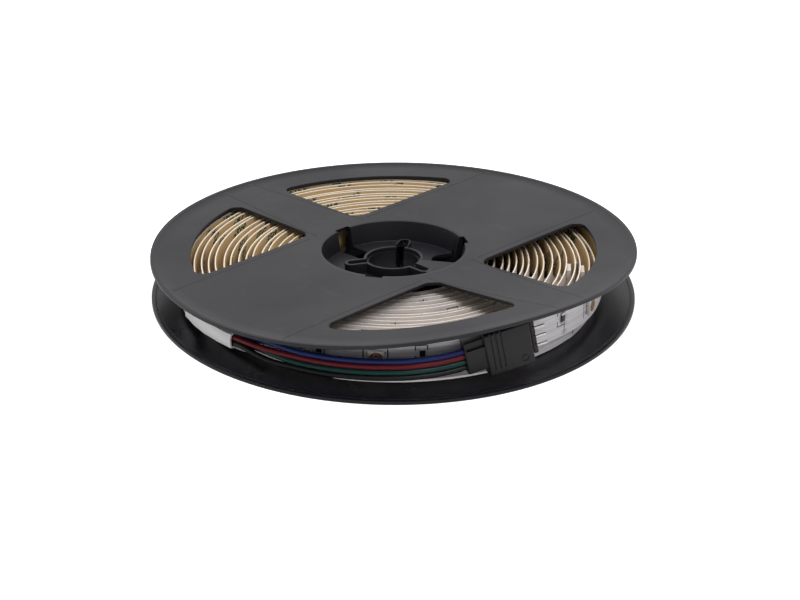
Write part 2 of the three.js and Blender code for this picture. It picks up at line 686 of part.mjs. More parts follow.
function wire(row) {
  const circle = new THREE.Shape(arcPoints(new THREE.Vector2(), WIRE_RADIUS, 0, 360, WIRE_SIDES).slice(1));
  return new THREE.ExtrudeGeometry(circle, { steps: WIRE_STEPS, extrudePath: wirePath(row) });
}

// Assembly
const reel = new THREE.Group();

function add(name, geometry, finish, parent = reel) {
  const mesh = new THREE.Mesh(geometry, new THREE.MeshStandardMaterial(finish));
  mesh.name = name;
  parent.add(mesh);
  return mesh;
}

add('lower_reel_half', lowerHalf(), darkPlastic);
add('upper_reel_half', upperHalf(), blackPlastic);
add('light_strip', ribbon(0, STRIP_THICKNESS, 0, STRIP_END_ANGLE), whiteFlex);
add('release_liner', ribbon(-linerOffset, LINER_THICKNESS, LINER_SHORT, LINER_END_ANGLE), kraftPaper);

let ledAngle = FIRST_LED_ANGLE;
for (let i = 0; i < LED_COUNT; i += 1) {
  const led = onStrip(new THREE.Group(), ledAngle, LED_HEIGHT, 0);
  add(`led_${i + 1}`, ledGeometry(), ledCase, led);
  reel.add(led);
  const perMillimetre = THREE.MathUtils.radToDeg(1 / stripRadius(ledAngle));
  const resistorAngle = ledAngle + RESISTOR_OFFSETS[i % RESISTOR_OFFSETS.length] * perMillimetre;
  const resistor = onStrip(new THREE.Group(), resistorAngle, RESISTOR_HEIGHT, RESISTOR_RISE);
  add(`resistor_${i + 1}`, box(RESISTOR_HEIGHT, RESISTOR_WIDE, RESISTOR_TALL, 0, 0, 0), chipBlack, resistor);
  reel.add(resistor);
  ledAngle += LED_PITCH * perMillimetre;
}

add('solder_sleeve', sleeve(), whiteSleeve);
WIRE_NAMES.forEach((name, row) => {
  add(name, wire(row), { color: wireColours[row], roughness: 0.45, metalness: 0 });
});

reel.add(connector);
add('connector_housing', housing(), blackPlastic, connector);
add('pin_header', header(), darkPlastic, connector);
pinHeights().forEach((z, i) => add(`header_pin_${i + 1}`, pin(z), tinned, connector));

export default reel;
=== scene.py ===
"""A plastic reel of LED strip light, lying on a white table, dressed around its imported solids.

The reel is two moulded halves. The strip and its release liner are wound between them. The lead runs round
the near side, out of a white sleeve and into a flat connector that is wedged under the upper flange.
"""
from __future__ import annotations

import logging
import math
from collections.abc import Callable, Iterator, Sequence
from contextlib import contextmanager
from dataclasses import dataclass, field
from enum import Enum

import bmesh
import bpy
from mathutils import Matrix, Vector

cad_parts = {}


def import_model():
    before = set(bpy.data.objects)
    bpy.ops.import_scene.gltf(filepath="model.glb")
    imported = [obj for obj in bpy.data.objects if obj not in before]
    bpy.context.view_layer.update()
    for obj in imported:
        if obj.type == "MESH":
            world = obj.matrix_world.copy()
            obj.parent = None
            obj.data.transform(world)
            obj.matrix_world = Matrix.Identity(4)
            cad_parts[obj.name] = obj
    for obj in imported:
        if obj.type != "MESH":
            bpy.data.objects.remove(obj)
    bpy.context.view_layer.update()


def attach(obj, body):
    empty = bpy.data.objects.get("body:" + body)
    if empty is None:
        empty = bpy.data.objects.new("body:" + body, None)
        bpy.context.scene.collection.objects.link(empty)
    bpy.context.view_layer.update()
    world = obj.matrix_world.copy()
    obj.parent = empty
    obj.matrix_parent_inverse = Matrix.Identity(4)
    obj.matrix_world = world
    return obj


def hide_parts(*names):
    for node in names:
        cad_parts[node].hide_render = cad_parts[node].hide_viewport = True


LOG = logging.getLogger("reel")
BODY = "root"
METRE = 0.001
HAIR = 0.01
BAR_SIDES = 28
ROUND_SIDES = 96
NOISE_RANGE = (0.3, 0.7)
SHARP_TURN = math.radians(30)
Point = tuple[float, float]
Colour = tuple[float, float, float]


class Side(Enum):
    """The two halves of the reel."""

    LOWER = "lower_reel_half"
    UPPER = "upper_reel_half"


class Cut(Enum):
    """How a tool works on a piece."""

    TAKE = "DIFFERENCE"
    ADD = "UNION"


# Tools of the bench: every size there is in millimetres


def deselect_all() -> None:
    """Leaves nothing selected in object mode."""
    if bpy.context.object is not None and bpy.context.object.mode != "OBJECT":
        bpy.ops.object.mode_set(mode="OBJECT")
    bpy.ops.object.select_all(action="DESELECT")


def hold(piece: bpy.types.Object) -> None:
    """Makes one piece the only selected and the active one.

    Args:
        piece: The piece to hold.
    """
    deselect_all()
    piece.select_set(True)
    bpy.context.view_layer.objects.active = piece


@contextmanager
def editing(piece: bpy.types.Object) -> Iterator[bpy.types.Object]:
    """Opens a piece in edit mode and closes it again.

    Args:
        piece: The piece to edit.

    Yields:
        The same piece, in edit mode.
    """
    hold(piece)
    bpy.ops.object.mode_set(mode="EDIT")
    yield piece
    bpy.ops.object.mode_set(mode="OBJECT")


def pick_points(piece: bpy.types.Object, test: Callable[[Vector], bool]) -> None:
    """Selects the points of a piece in edit mode by their place.

    Args:
        piece: The piece in edit mode.
        test: Says of a place whether its point is picked.
    """
    mesh = bmesh.from_edit_mesh(piece.data)
    bpy.ops.mesh.select_mode(type="VERT")
    for vert in mesh.verts:
        vert.select = test(vert.co)
    mesh.select_flush(True)
    mesh.select_flush(False)
    bmesh.update_edit_mesh(piece.data)


def pick_edges(piece: bpy.types.Object, test: Callable[[Vector, Vector], bool]) -> None:
    """Selects the edges of a piece in edit mode at which its faces turn, by the places of their two ends.

    Args:
        piece: The piece in edit mode.
        test: Says of two ends whether their edge is picked.
    """
    bpy.ops.mesh.select_mode(type="EDGE")
    mesh = bmesh.from_edit_mesh(piece.data)
    for face in mesh.faces:
        face.select = False
    for edge in mesh.edges:
        turns = edge.calc_face_angle(0) > SHARP_TURN
        edge.select = turns and test(edge.verts[0].co, edge.verts[1].co)
    bmesh.update_edit_mesh(piece.data)


def tidy_mesh(piece: bpy.types.Object) -> None:
    """Merges double points and turns every face outwards.

    Args:
        piece: The piece to tidy.
    """
    with editing(piece):
        bpy.ops.mesh.select_all(action="SELECT")
        bpy.ops.mesh.remove_doubles(threshold=1e-4)
        bpy.ops.mesh.normals_make_consistent(inside=False)


def apply_modifier(piece: bpy.types.Object, kind: str, **settings: object) -> None:
    """Adds a modifier with its settings and applies it.

    Args:
        piece: The piece it works on.
        kind: The modifier's type.
        settings: The modifier's properties.
    """
    hold(piece)
    modifier = piece.modifiers.new(kind.title(), kind)
    for name, value in settings.items():
        setattr(modifier, name, value)
    bpy.ops.object.modifier_apply(modifier=modifier.name)


def shape(piece: bpy.types.Object, tool: bpy.types.Object, how: Cut) -> None:
    """Cuts a piece with a tool or joins the tool to it, and throws the tool away.

    Args:
        piece: The piece that stays.
        tool: The closed solid that works on it.
        how: Whether the tool is taken off or added.
    """
    apply_modifier(piece, "BOOLEAN", object=tool, operation=how.value, solver="EXACT")
    bpy.data.objects.remove(tool, do_unlink=True)


def cut_all(piece: bpy.types.Object, tools: Sequence[bpy.types.Object]) -> None:
    """Takes several tools off a piece, one after another.

    Args:
        piece: The piece that stays.
        tools: The closed solids that are taken off.
    """
    for tool in tools:
        shape(piece, tool, Cut.TAKE)


def soften(piece: bpy.types.Object, width: float, segments: int = 2, angle: float = 40) -> None:
    """Rounds the sharp edges of a piece.

    Args:
        piece: The piece.
        width: The width of the rounding.
        segments: The steps across it.
        angle: The least turn between two faces that counts as an edge, in degrees.
    """
    apply_modifier(
        piece,
        "BEVEL",
        width=width,
        segments=segments,
        limit_method="ANGLE",
        angle_limit=math.radians(angle),
        use_clamp_overlap=False,
    )


def block(size: Sequence[float], centre: Sequence[float]) -> bpy.types.Object:
    """Adds a block by its size and centre.

    Args:
        size: Its sizes along X, Y and Z.
        centre: The place of its middle.

    Returns:
        The block, with its place in its mesh.
    """
    deselect_all()
    bpy.ops.mesh.primitive_cube_add(size=1)
    piece = bpy.context.object
    with editing(piece):
        bpy.ops.mesh.select_all(action="SELECT")
        bpy.ops.transform.resize(value=tuple(size))
        bpy.ops.transform.translate(value=tuple(centre))
    return piece


def cylinder(radius: float, low: float, high: float, sides: int, at: Point = (0, 0)) -> bpy.types.Object:
    """Adds an upright cylinder.

    Args:
        radius: Its radius.
        low: The height of its foot.
        high: The height of its top.
        sides: The number of its sides.
        at: The X and Y of its axis.

    Returns:
        The cylinder, with its place in its mesh.
    """
    deselect_all()
    bpy.ops.mesh.primitive_cylinder_add(vertices=sides, radius=radius, depth=high - low)
    piece = bpy.context.object
    with editing(piece):
        bpy.ops.mesh.select_all(action="SELECT")
        bpy.ops.transform.translate(value=(at[0], at[1], (low + high) / 2))
    return piece


def turned(profile: Sequence[Point], sides: int) -> bpy.types.Object:
    """Turns a closed profile round Z by extruding and resizing one ring again and again.

    Args:
        profile: Radius and height of each corner, in order.
        sides: The number of sides of the turned piece.

    Returns:
        The turned piece.
    """
    deselect_all()
    radius, height = profile[0]
    bpy.ops.mesh.primitive_circle_add(vertices=sides, radius=radius)
    piece = bpy.context.object
    with editing(piece):
        bpy.ops.mesh.select_all(action="SELECT")
        bpy.ops.transform.translate(value=(0, 0, height))
        for next_radius, next_height in [*profile[1:], profile[0]]:
            bpy.ops.mesh.extrude_region_move(TRANSFORM_OT_translate={"value": (0, 0, next_height - height)})
            ratio = next_radius / radius
            bpy.ops.transform.resize(value=(ratio, ratio, 1), center_override=(0, 0, next_height))
            radius, height = next_radius, next_height
    tidy_mesh(piece)
    return piece


def turn_about_axis(piece: bpy.types.Object, degrees: float) -> bpy.types.Object:
    """Turns a piece about the reel's axis.

    Args:
        piece: The piece.
        degrees: The turn, counter-clockwise from above.

    Returns:
        The same piece.
    """
    piece.data.transform(Matrix.Rotation(math.radians(degrees), 4, "Z"))
    return piece


def stadium(
    start: float, end: float, half: float, low: float, high: float, degrees: float, flat: bool = False
) -> bpy.types.Object:
    """Makes a radial bar with round ends, by drawing a cylinder out to one side.

    Args:
        start: The radius at which its straight part starts.
        end: The radius at which its straight part ends.
        half: Half its width.
        low: The height of its foot.
        high: The height of its top.
        degrees: The direction in which it points.
        flat: Whether its outer end is flat.

    Returns:
        The bar.
    """
    piece = cylinder(half, low, high, BAR_SIDES, (start, 0))
    with editing(piece):
        pick_points(piece, lambda co: co.x > start + HAIR * half)
        bpy.ops.transform.translate(value=(end - start, 0, 0))
        if flat:
            bpy.ops.transform.resize(value=(0, 1, 1), center_override=(end, 0, 0))
    return turn_about_axis(piece, degrees)


def joined(name: str, pieces: Sequence[bpy.types.Object]) -> bpy.types.Object:
    """Joins several meshes into one object.

    Args:
        name: The name of the joined piece.
        pieces: The meshes.

    Returns:
        The joined piece.
    """
    deselect_all()
    for piece in pieces:
        piece.select_set(True)
    bpy.context.view_layer.objects.active = pieces[0]
    bpy.ops.object.join()
    pieces[0].name = name
    return pieces[0]


def seat(piece: bpy.types.Object, name: str, nodes: Sequence[str], angle: float = 35) -> None:
    """Brings a finished piece to the frame's metres, shades it and fixes it to the reel.

    Args:
        piece: The piece, in millimetres.
        name: Its name.
        nodes: The solids that it stands for.
        angle: The turn past which an edge stays sharp, in degrees.
    """
    piece.data.transform(Matrix.Scale(METRE, 4))
    piece.name = name
    piece.data.name = name
    hold(piece)
    bpy.ops.object.shade_smooth_by_angle(angle=math.radians(angle))
    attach(piece, BODY)
    if nodes:
        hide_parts(*nodes)
    LOG.info("%s: %d faces", name, len(piece.data.polygons))


def polar(radius: float, degrees: float, height: float = 0) -> Vector:
    """Gives a place by its radius, direction and height."""
    turn = math.radians(degrees)
    return Vector((radius * math.cos(turn), radius * math.sin(turn), height))


def smoothstep(value: float, low: float, high: float) -> float:
    """Rises smoothly from 0 at low to 1 at high."""
    share = min(1.0, max(0.0, (value - low) / (high - low)))
    return share * share * (3 - 2 * share)


# Node trees


class Shader:
    """A small writer of shader nodes."""

    def __init__(self, tree: bpy.types.NodeTree) -> None:
        """Starts on an empty tree.

        Args:
            tree: The material's or the group's node tree.
        """
        self.tree = tree

    def node(self, kind: str, **settings: object) -> bpy.types.Node:
        """Adds a node and sets its properties.

        Args:
            kind: The node's type name.
            settings: Its properties.

        Returns:
            The node.
        """
        made = self.tree.nodes.new(kind)
        for name, value in settings.items():
            setattr(made, name, value)
        return made

    def feed(self, socket: bpy.types.NodeSocket, value: object) -> None:
        """Links a socket to another one, or sets its value.

        Args:
            socket: The input.
            value: An output socket, a number or a tuple.
        """
        if isinstance(value, bpy.types.NodeSocket):
            self.tree.links.new(value, socket)
        else:
            socket.default_value = value

    def math(self, operation: str, *values: object) -> bpy.types.NodeSocket:
        """Adds a math node.

        Args:
            operation: What it does.
            values: Its inputs, in order.

        Returns:
            Its output.
        """
        made = self.node("ShaderNodeMath", operation=operation)
        for socket, value in zip(made.inputs, values):
            self.feed(socket, value)
        return made.outputs[0]

    def mix(self, share: object, first: object, second: object) -> bpy.types.NodeSocket:
        """Mixes two colours.

        Args:
            share: How much of the second.
            first: A colour or an output.
            second: A colour or an output.

        Returns:
            The mixed colour.
        """
        made = self.node("ShaderNodeMix", data_type="RGBA")
        self.feed(made.inputs[0], share)
        self.feed(made.inputs[6], with_alpha(first))
        self.feed(made.inputs[7], with_alpha(second))
        return made.outputs[2]

    def noise(
        self, place: object, scale: float, detail: float = 3, rough: float = 0.5
    ) -> bpy.types.NodeSocket:
        """Adds a noise.

        Args:
            place: The coordinates.
            scale: Its scale.
            detail: Its detail.
            rough: How strong the fine detail is.

        Returns:
            Its value.
        """
        made = self.node("ShaderNodeTexNoise")
        self.feed(made.inputs["Vector"], place)
        made.inputs["Scale"].default_value = scale
        made.inputs["Detail"].default_value = detail
        made.inputs["Roughness"].default_value = rough
        return made.outputs["Fac"]

    def span(
        self, value: object, low: float, high: float, to_low: float, to_high: float
    ) -> bpy.types.NodeSocket:
        """Maps a range of values to another one.

        Args:
            value: The input.
            low: The start of its range.
            high: The end of its range.
            to_low: What the start becomes.
            to_high: What the end becomes.

        Returns:
            The mapped value.
        """
        made = self.node("ShaderNodeMapRange")
        for socket, number in zip(made.inputs, (value, low, high, to_low, to_high)):
            self.feed(socket, number)
        return made.outputs[0]

    def band(self, value: object, centre: float, half: float) -> bpy.types.NodeSocket:
        """Gives 1 where a value lies within half of a centre, and 0 elsewhere."""
        away = self.math("ABSOLUTE", self.math("SUBTRACT", value, centre))
        return self.math("LESS_THAN", away, half)

    def both(self, first: object, second: object) -> bpy.types.NodeSocket:
        """Gives 1 where both masks do."""
        return self.math("MULTIPLY", first, second)

    def either(self, *masks: object) -> bpy.types.NodeSocket:
        """Gives the strongest of several masks."""
        result = masks[0]
        for mask in masks[1:]:
            result = self.math("MAXIMUM", result, mask)
        return result


def with_alpha(colour: object) -> object:
    """Adds alpha to a plain colour, and leaves a socket as it is."""
    if isinstance(colour, tuple) and len(colour) == 3:
        return (*colour, 1.0)
    return colour


def make_group(name: str, inputs: dict[str, float], outputs: Sequence[str]) -> bpy.types.NodeTree:
    """Makes an empty node group with number inputs and outputs.

    Args:
        name: The group's name.
        inputs: Name and first value of each input.
        outputs: The name of each output.

    Returns:
        The group, with its input and output nodes.
    """
    group = bpy.data.node_groups.new(name, "ShaderNodeTree")
    for label, value in inputs.items():
        socket = group.interface.new_socket(label, in_out="INPUT", socket_type="NodeSocketFloat")
        socket.default_value = value
    for label in outputs:
        group.interface.new_socket(label, in_out="OUTPUT", socket_type="NodeSocketFloat")
    group.nodes.new("NodeGroupInput")
    group.nodes.new("NodeGroupOutput")
    return group


def moulded_grain_group() -> bpy.types.NodeTree:
    """Makes the grain of moulded plastic: fine pits, faint flow clouds and a few rubbed places.

    Returns:
        The node group.
    """
    name = "Moulded grain"
    if name in bpy.data.node_groups:
        return bpy.data.node_groups[name]
    group = make_group(name, {"Grain per metre": 2600, "Cloud per metre": 40}, ["Height", "Cloud", "Rub"])
    write = Shader(group)
    given = group.nodes["Group Input"].outputs
    place = write.node("ShaderNodeTexCoord").outputs["Object"]
    fine = write.node("ShaderNodeTexNoise")
    write.feed(fine.inputs["Vector"], place)
    write.feed(fine.inputs["Scale"], given["Grain per metre"])
    fine.inputs["Detail"].default_value = 2
    cloud = write.node("ShaderNodeTexNoise")
    write.feed(cloud.inputs["Vector"], place)
    write.feed(cloud.inputs["Scale"], given["Cloud per metre"])
    rub = write.node("ShaderNodeTexNoise")
    write.feed(rub.inputs["Vector"], place)
    write.feed(rub.inputs["Scale"], write.math("MULTIPLY", given["Cloud per metre"], 4.0))
    rub.inputs["Detail"].default_value = 6
    sink = group.nodes["Group Output"].inputs
    write.feed(sink["Height"], fine.outputs["Fac"])
    write.feed(sink["Cloud"], cloud.outputs["Fac"])
    write.feed(sink["Rub"], write.span(rub.outputs["Fac"], 0.6, 0.75, 0.0, 1.0))
    return group


def new_material(name: str) -> tuple[bpy.types.Material, Shader, bpy.types.Node]:
    """Starts a material.

    Args:
        name: Its name.

    Returns:
        The material, the writer of its nodes and its Principled shader.
    """
    material = bpy.data.materials.new(name)
    material.use_nodes = True
    return material, Shader(material.node_tree), material.node_tree.nodes["Principled BSDF"]


@dataclass(frozen=True)
class MouldedPlastic:
    """Injection-moulded plastic with a fine grain."""

    name: str
    colour: Colour
    roughness: float
    cloud_gain: float = 0.12
    bump: float = 0.12
    grain_per_metre: float = 2600
    specular: float = 0.5

    def build(self) -> bpy.types.Material:
        """Builds the material.

        Returns:
            The material.
        """
        material, write, shader = new_material(self.name)
        grain = write.node("ShaderNodeGroup", node_tree=moulded_grain_group())
        grain.inputs["Grain per metre"].default_value = self.grain_per_metre
        lighter = tuple(min(1.0, c * (1 + self.cloud_gain)) for c in self.colour)
        darker = tuple(c * (1 - self.cloud_gain) for c in self.colour)
        write.feed(shader.inputs["Base Color"], write.mix(grain.outputs["Cloud"], darker, lighter))
        rough = write.span(grain.outputs["Cloud"], *NOISE_RANGE, self.roughness - 0.04, self.roughness + 0.04)
        rubbed = write.math("SUBTRACT", rough, write.math("MULTIPLY", grain.outputs["Rub"], 0.05))
        write.feed(shader.inputs["Roughness"], rubbed)
        bump = write.node("ShaderNodeBump")
        bump.inputs["Strength"].default_value = self.bump
        bump.inputs["Distance"].default_value = 0.00008
        write.feed(bump.inputs["Height"], grain.outputs["Height"])
        write.feed(shader.inputs["Normal"], bump.outputs["Normal"])
        shader.inputs["Specular IOR Level"].default_value = self.specular
        return material


@dataclass(frozen=True)
class TinnedMetal:
    """Tinned or plated metal of leads, pads and pins."""

    name: str = "Tinned metal"
    colour: Colour = (0.62, 0.61, 0.58)
    roughness: float = 0.32

    def build(self) -> bpy.types.Material:
        """Builds the material.

        Returns:
            The material.
        """
        material, write, shader = new_material(self.name)
        place = write.node("ShaderNodeTexCoord").outputs["Object"]
        mottle = write.noise(place, 900)
        darker = tuple(c * 0.75 for c in self.colour)
        write.feed(shader.inputs["Base Color"], write.mix(mottle, darker, self.colour))
        rough = write.span(mottle, *NOISE_RANGE, self.roughness - 0.08, self.roughness + 0.1)
        write.feed(shader.inputs["Roughness"], rough)
        shader.inputs["Metallic"].default_value = 1.0
        return material


@dataclass(frozen=True)
class PlainResin:
    """Cast or fired stuff with a soft mottle: LED resin, chip ceramic, board edges."""

    name: str
    colour: Colour
    roughness: float
    spread: float = 0.15
    mottle_per_metre: float = 700
    coat: float = 0.0

    def build(self) -> bpy.types.Material:
        """Builds the material.

        Returns:
            The material.
        """
        material, write, shader = new_material(self.name)
        place = write.node("ShaderNodeTexCoord").outputs["Object"]
        mottle = write.noise(place, self.mottle_per_metre)
        darker = tuple(c * (1 - self.spread) for c in self.colour)
        lighter = tuple(min(1.0, c * (1 + self.spread)) for c in self.colour)
        write.feed(shader.inputs["Base Color"], write.mix(mottle, darker, lighter))
        rough = write.span(mottle, *NOISE_RANGE, self.roughness - 0.05, self.roughness + 0.05)
        write.feed(shader.inputs["Roughness"], rough)
        shader.inputs["Coat Weight"].default_value = self.coat
        return material


@dataclass(frozen=True)
class BoardFace:
    """White solder mask over copper traces, with silk-screened lines around each LED and resistor.

    The piece's UV map gives the distance along the strip and the height above its lower edge, in millimetres.
    """

    pitch: float
    first_led: float
    resistor_offsets: tuple[float, float]
    tall: float
    name: str = "Board face"
    mask_colour: Colour = (0.82, 0.79, 0.82)
    trace_colour: Colour = (0.64, 0.62, 0.65)
    silk_colour: Colour = (0.012, 0.012, 0.014)
    pad_colour: Colour = (0.66, 0.64, 0.66)
    led_line_at: float = 3.55
    led_line_tall_half: float = 3.4
    line_half: float = 0.17
    bracket_half: float = 1.75
    bracket_tall_half: float = 2.5
    bracket_rise: float = 1.2
    post_half: float = 0.8
    cut_at: float = 23.9
    pad_half_long: float = 1.5
    pad_half_tall: float = 0.75
    pad_rows: int = 4
    trace_edges: tuple[float, ...] = (1.0, 3.0, 3.6, 5.2, 6.1, 7.4, 8.6)
    trace_half: float = 0.11

    def build(self) -> bpy.types.Material:
        """Builds the material.

        Returns:
            The material.
        """
        material, write, shader = new_material(self.name)
        split = write.node("ShaderNodeSeparateXYZ")
        write.feed(split.inputs[0], write.node("ShaderNodeUVMap", uv_map="Strip").outputs[0])
        along, up = split.outputs[0], split.outputs[1]
        from_led = write.math("SUBTRACT", along, self.first_led)
        in_pair = write.math("FLOORED_MODULO", write.math("ADD", from_led, self.pitch / 2), 2 * self.pitch)
        in_cell = write.math("FLOORED_MODULO", in_pair, self.pitch)
        here = write.math("SUBTRACT", in_cell, self.pitch / 2)
        led_lines = write.both(
            write.band(write.math("ABSOLUTE", here), self.led_line_at, self.line_half),
            write.band(up, self.tall / 2, self.led_line_tall_half),
        )
        silk = write.either(led_lines, self.brackets(write, in_pair, up))
        cut = self.cut_line(write, in_pair, up)
        pads = self.pads(write, in_pair, up)
        traces = self.traces(write, up)
        face = write.mix(traces, self.mask_colour, self.trace_colour)
        face = write.mix(pads, face, self.pad_colour)
        face = write.mix(write.either(silk, cut), face, self.silk_colour)
        write.feed(shader.inputs["Base Color"], face)
        shader.inputs["Roughness"].default_value = 0.42
        bump = write.node("ShaderNodeBump")
        bump.inputs["Strength"].default_value = 0.5
        bump.inputs["Distance"].default_value = 0.00004
        write.feed(bump.inputs["Height"], write.math("SUBTRACT", 1.0, traces))
        write.feed(shader.inputs["Normal"], bump.outputs["Normal"])
        return material

    def brackets(self, write: Shader, in_pair: object, up: object) -> bpy.types.NodeSocket:
        """Draws a broken frame round each resistor.

        Args:
            write: The writer of nodes.
            in_pair: Distance along a pair of cells, with the first LED at half a pitch.
            up: Height above the strip's lower edge.

        Returns:
            The mask of the lines.
        """
        masks = []
        for index, offset in enumerate(self.resistor_offsets):
            centre = self.pitch / 2 + index * self.pitch + offset
            x = write.math("ABSOLUTE", write.math("SUBTRACT", in_pair, centre))
            y = write.math("ABSOLUTE", write.math("SUBTRACT", up, self.tall / 2 + self.bracket_rise))
            posts = write.both(
                write.band(x, self.bracket_half, self.line_half),
                write.band(y, self.bracket_tall_half - self.post_half, self.post_half),
            )
            bars = write.both(
                write.band(y, self.bracket_tall_half, self.line_half),
                write.math("LESS_THAN", x, self.bracket_half),
            )
            masks.append(write.either(posts, bars))
        return write.either(*masks)

    def cut_line(self, write: Shader, in_pair: object, up: object) -> bpy.types.NodeSocket:
        """Draws the line where the strip may be cut, once in each pair of cells."""
        line = write.band(in_pair, self.pitch / 2 + self.cut_at, self.line_half)
        return write.both(line, write.band(up, self.tall / 2, self.tall / 2 - 0.4))

    def pads(self, write: Shader, in_pair: object, up: object) -> bpy.types.NodeSocket:
        """Draws four tinned pads across the cutting line."""
        near = write.band(in_pair, self.pitch / 2 + self.cut_at, self.pad_half_long)
        heights = [self.tall * (2 * i + 1) / (2 * self.pad_rows) for i in range(self.pad_rows)]
        rows = [write.band(up, height, self.pad_half_tall) for height in heights]
        return write.both(near, write.either(*rows))

    def traces(self, write: Shader, up: object) -> bpy.types.NodeSocket:
        """Draws the fine lines between the copper traces under the mask."""
        return write.either(*[write.band(up, edge, self.trace_half) for edge in self.trace_edges])


@dataclass(frozen=True)
class KraftPaper:
    """Brown release paper with scattered dark green printed dashes.

    The piece's UV map gives the distance along the liner and the height above its lower edge, in millimetres.
    """

    name: str = "Kraft liner"
    colour: Colour = (0.54, 0.355, 0.155)
    pale: Colour = (0.64, 0.445, 0.215)
    print_colour: Colour = (0.035, 0.06, 0.022)
    dash_pitch: float = 15.0
    dash_long: float = 7.5
    dash_slant: float = 0.8
    dash_broken: float = 0.47
    dash_missing: float = 0.3

    def build(self) -> bpy.types.Material:
        """Builds the material.

        Returns:
            The material.
        """
        material, write, shader = new_material(self.name)
        uv = write.node("ShaderNodeUVMap", uv_map="Strip").outputs[0]
        split = write.node("ShaderNodeSeparateXYZ")
        write.feed(split.inputs[0], uv)
        along, up = split.outputs[0], split.outputs[1]
        slant = write.math("ADD", along, write.math("MULTIPLY", up, self.dash_slant))
        cell = write.math("FLOOR", write.math("DIVIDE", slant, self.dash_pitch))
        white = write.node("ShaderNodeTexWhiteNoise", noise_dimensions="1D")
        write.feed(white.inputs["W"], cell)
        chance = white.outputs["Value"]
        place = write.math("FLOORED_MODULO", slant, self.dash_pitch)
        inside = write.math("LESS_THAN", place, write.math("MULTIPLY", chance, self.dash_long))
        broken = write.math("GREATER_THAN", write.noise(uv, 1.1, 1), self.dash_broken)
        printed = write.math("GREATER_THAN", chance, self.dash_missing)
        marks = write.both(write.both(inside, broken), printed)
        fibre = write.noise(uv, 2.2, 6, 0.7)
        paper = write.mix(fibre, self.colour, self.pale)
        write.feed(shader.inputs["Base Color"], write.mix(marks, paper, self.print_colour))
        shader.inputs["Roughness"].default_value = 0.7
        bump = write.node("ShaderNodeBump")
        bump.inputs["Strength"].default_value = 0.2
        bump.inputs["Distance"].default_value = 0.00005
        write.feed(bump.inputs["Height"], fibre)
        write.feed(shader.inputs["Normal"], bump.outputs["Normal"])
        return material


# Sizes that more than one sub-assembly needs, in millimetres


@dataclass(frozen=True)
class ReelSizes:
    """Driving sizes of the two reel halves and of the pattern of their windows."""

    radius: float = 75.0
    flange: float = 1.2
    chamfer: float = 0.25
    lip_width: float = 1.3
    lip_height: float = 0.2
    closed: float = 12.4
    bore: float = 22.2
    hub_wall: float = 1.2
    slide_gap: float = 0.3
    barrel_wall: float = 1.2
    window_radius: float = 62.6
    long_bar_half: float = 26.7
    cross_bar_half: float = 9.8
    window_tip: float = 4.0
    window_edge: float = 3.0
    slot_angles: tuple[float, ...] = (135, 15, -105)
    slot_width: float = 5.4
    sides: int = 216

    @property
    def shelf(self) -> float:
        """Height of the upper flange's face inside its lip, before it is raised."""
        return self.closed - self.lip_height


@dataclass(frozen=True)
class Flex:
    """How far the upper half stands above its closed place, wedged up by the connector."""

    bore: float
    radius: float
    hub_raise: float = 2.76
    slope_x: float = 0.02
    slope_y: float = -0.036
    power: float = 1.6
    waves: tuple[tuple[float, float, float], ...] = (
        (-56, 25, 4.1),
        (160, 38, 0.8),
        (42, 30, -0.57),
        (-128, 20, -0.75),
    )

    def at(self, x: float, y: float) -> float:
        """Gives the rise over a place.

        Args:
            x: Its X.
            y: Its Y.

        Returns:
            The rise.
        """
        degrees = math.degrees(math.atan2(y, x))
        outward = max(0.0, (math.hypot(x, y) - self.bore) / (self.radius - self.bore))
        bend = 0.0
        for centre, width, rise in self.waves:
            away = (degrees - centre + 180) % 360 - 180
            bend += rise * math.exp(-0.5 * (away / width) ** 2)
        return self.hub_raise + self.slope_x * x + self.slope_y * y + bend * outward**self.power

    def lift(self, piece: bpy.types.Object) -> None:
        """Raises every point of a piece. Only heights change, so walls stay upright."""
        for vert in piece.data.vertices:
            vert.co.z += self.at(vert.co.x, vert.co.y)


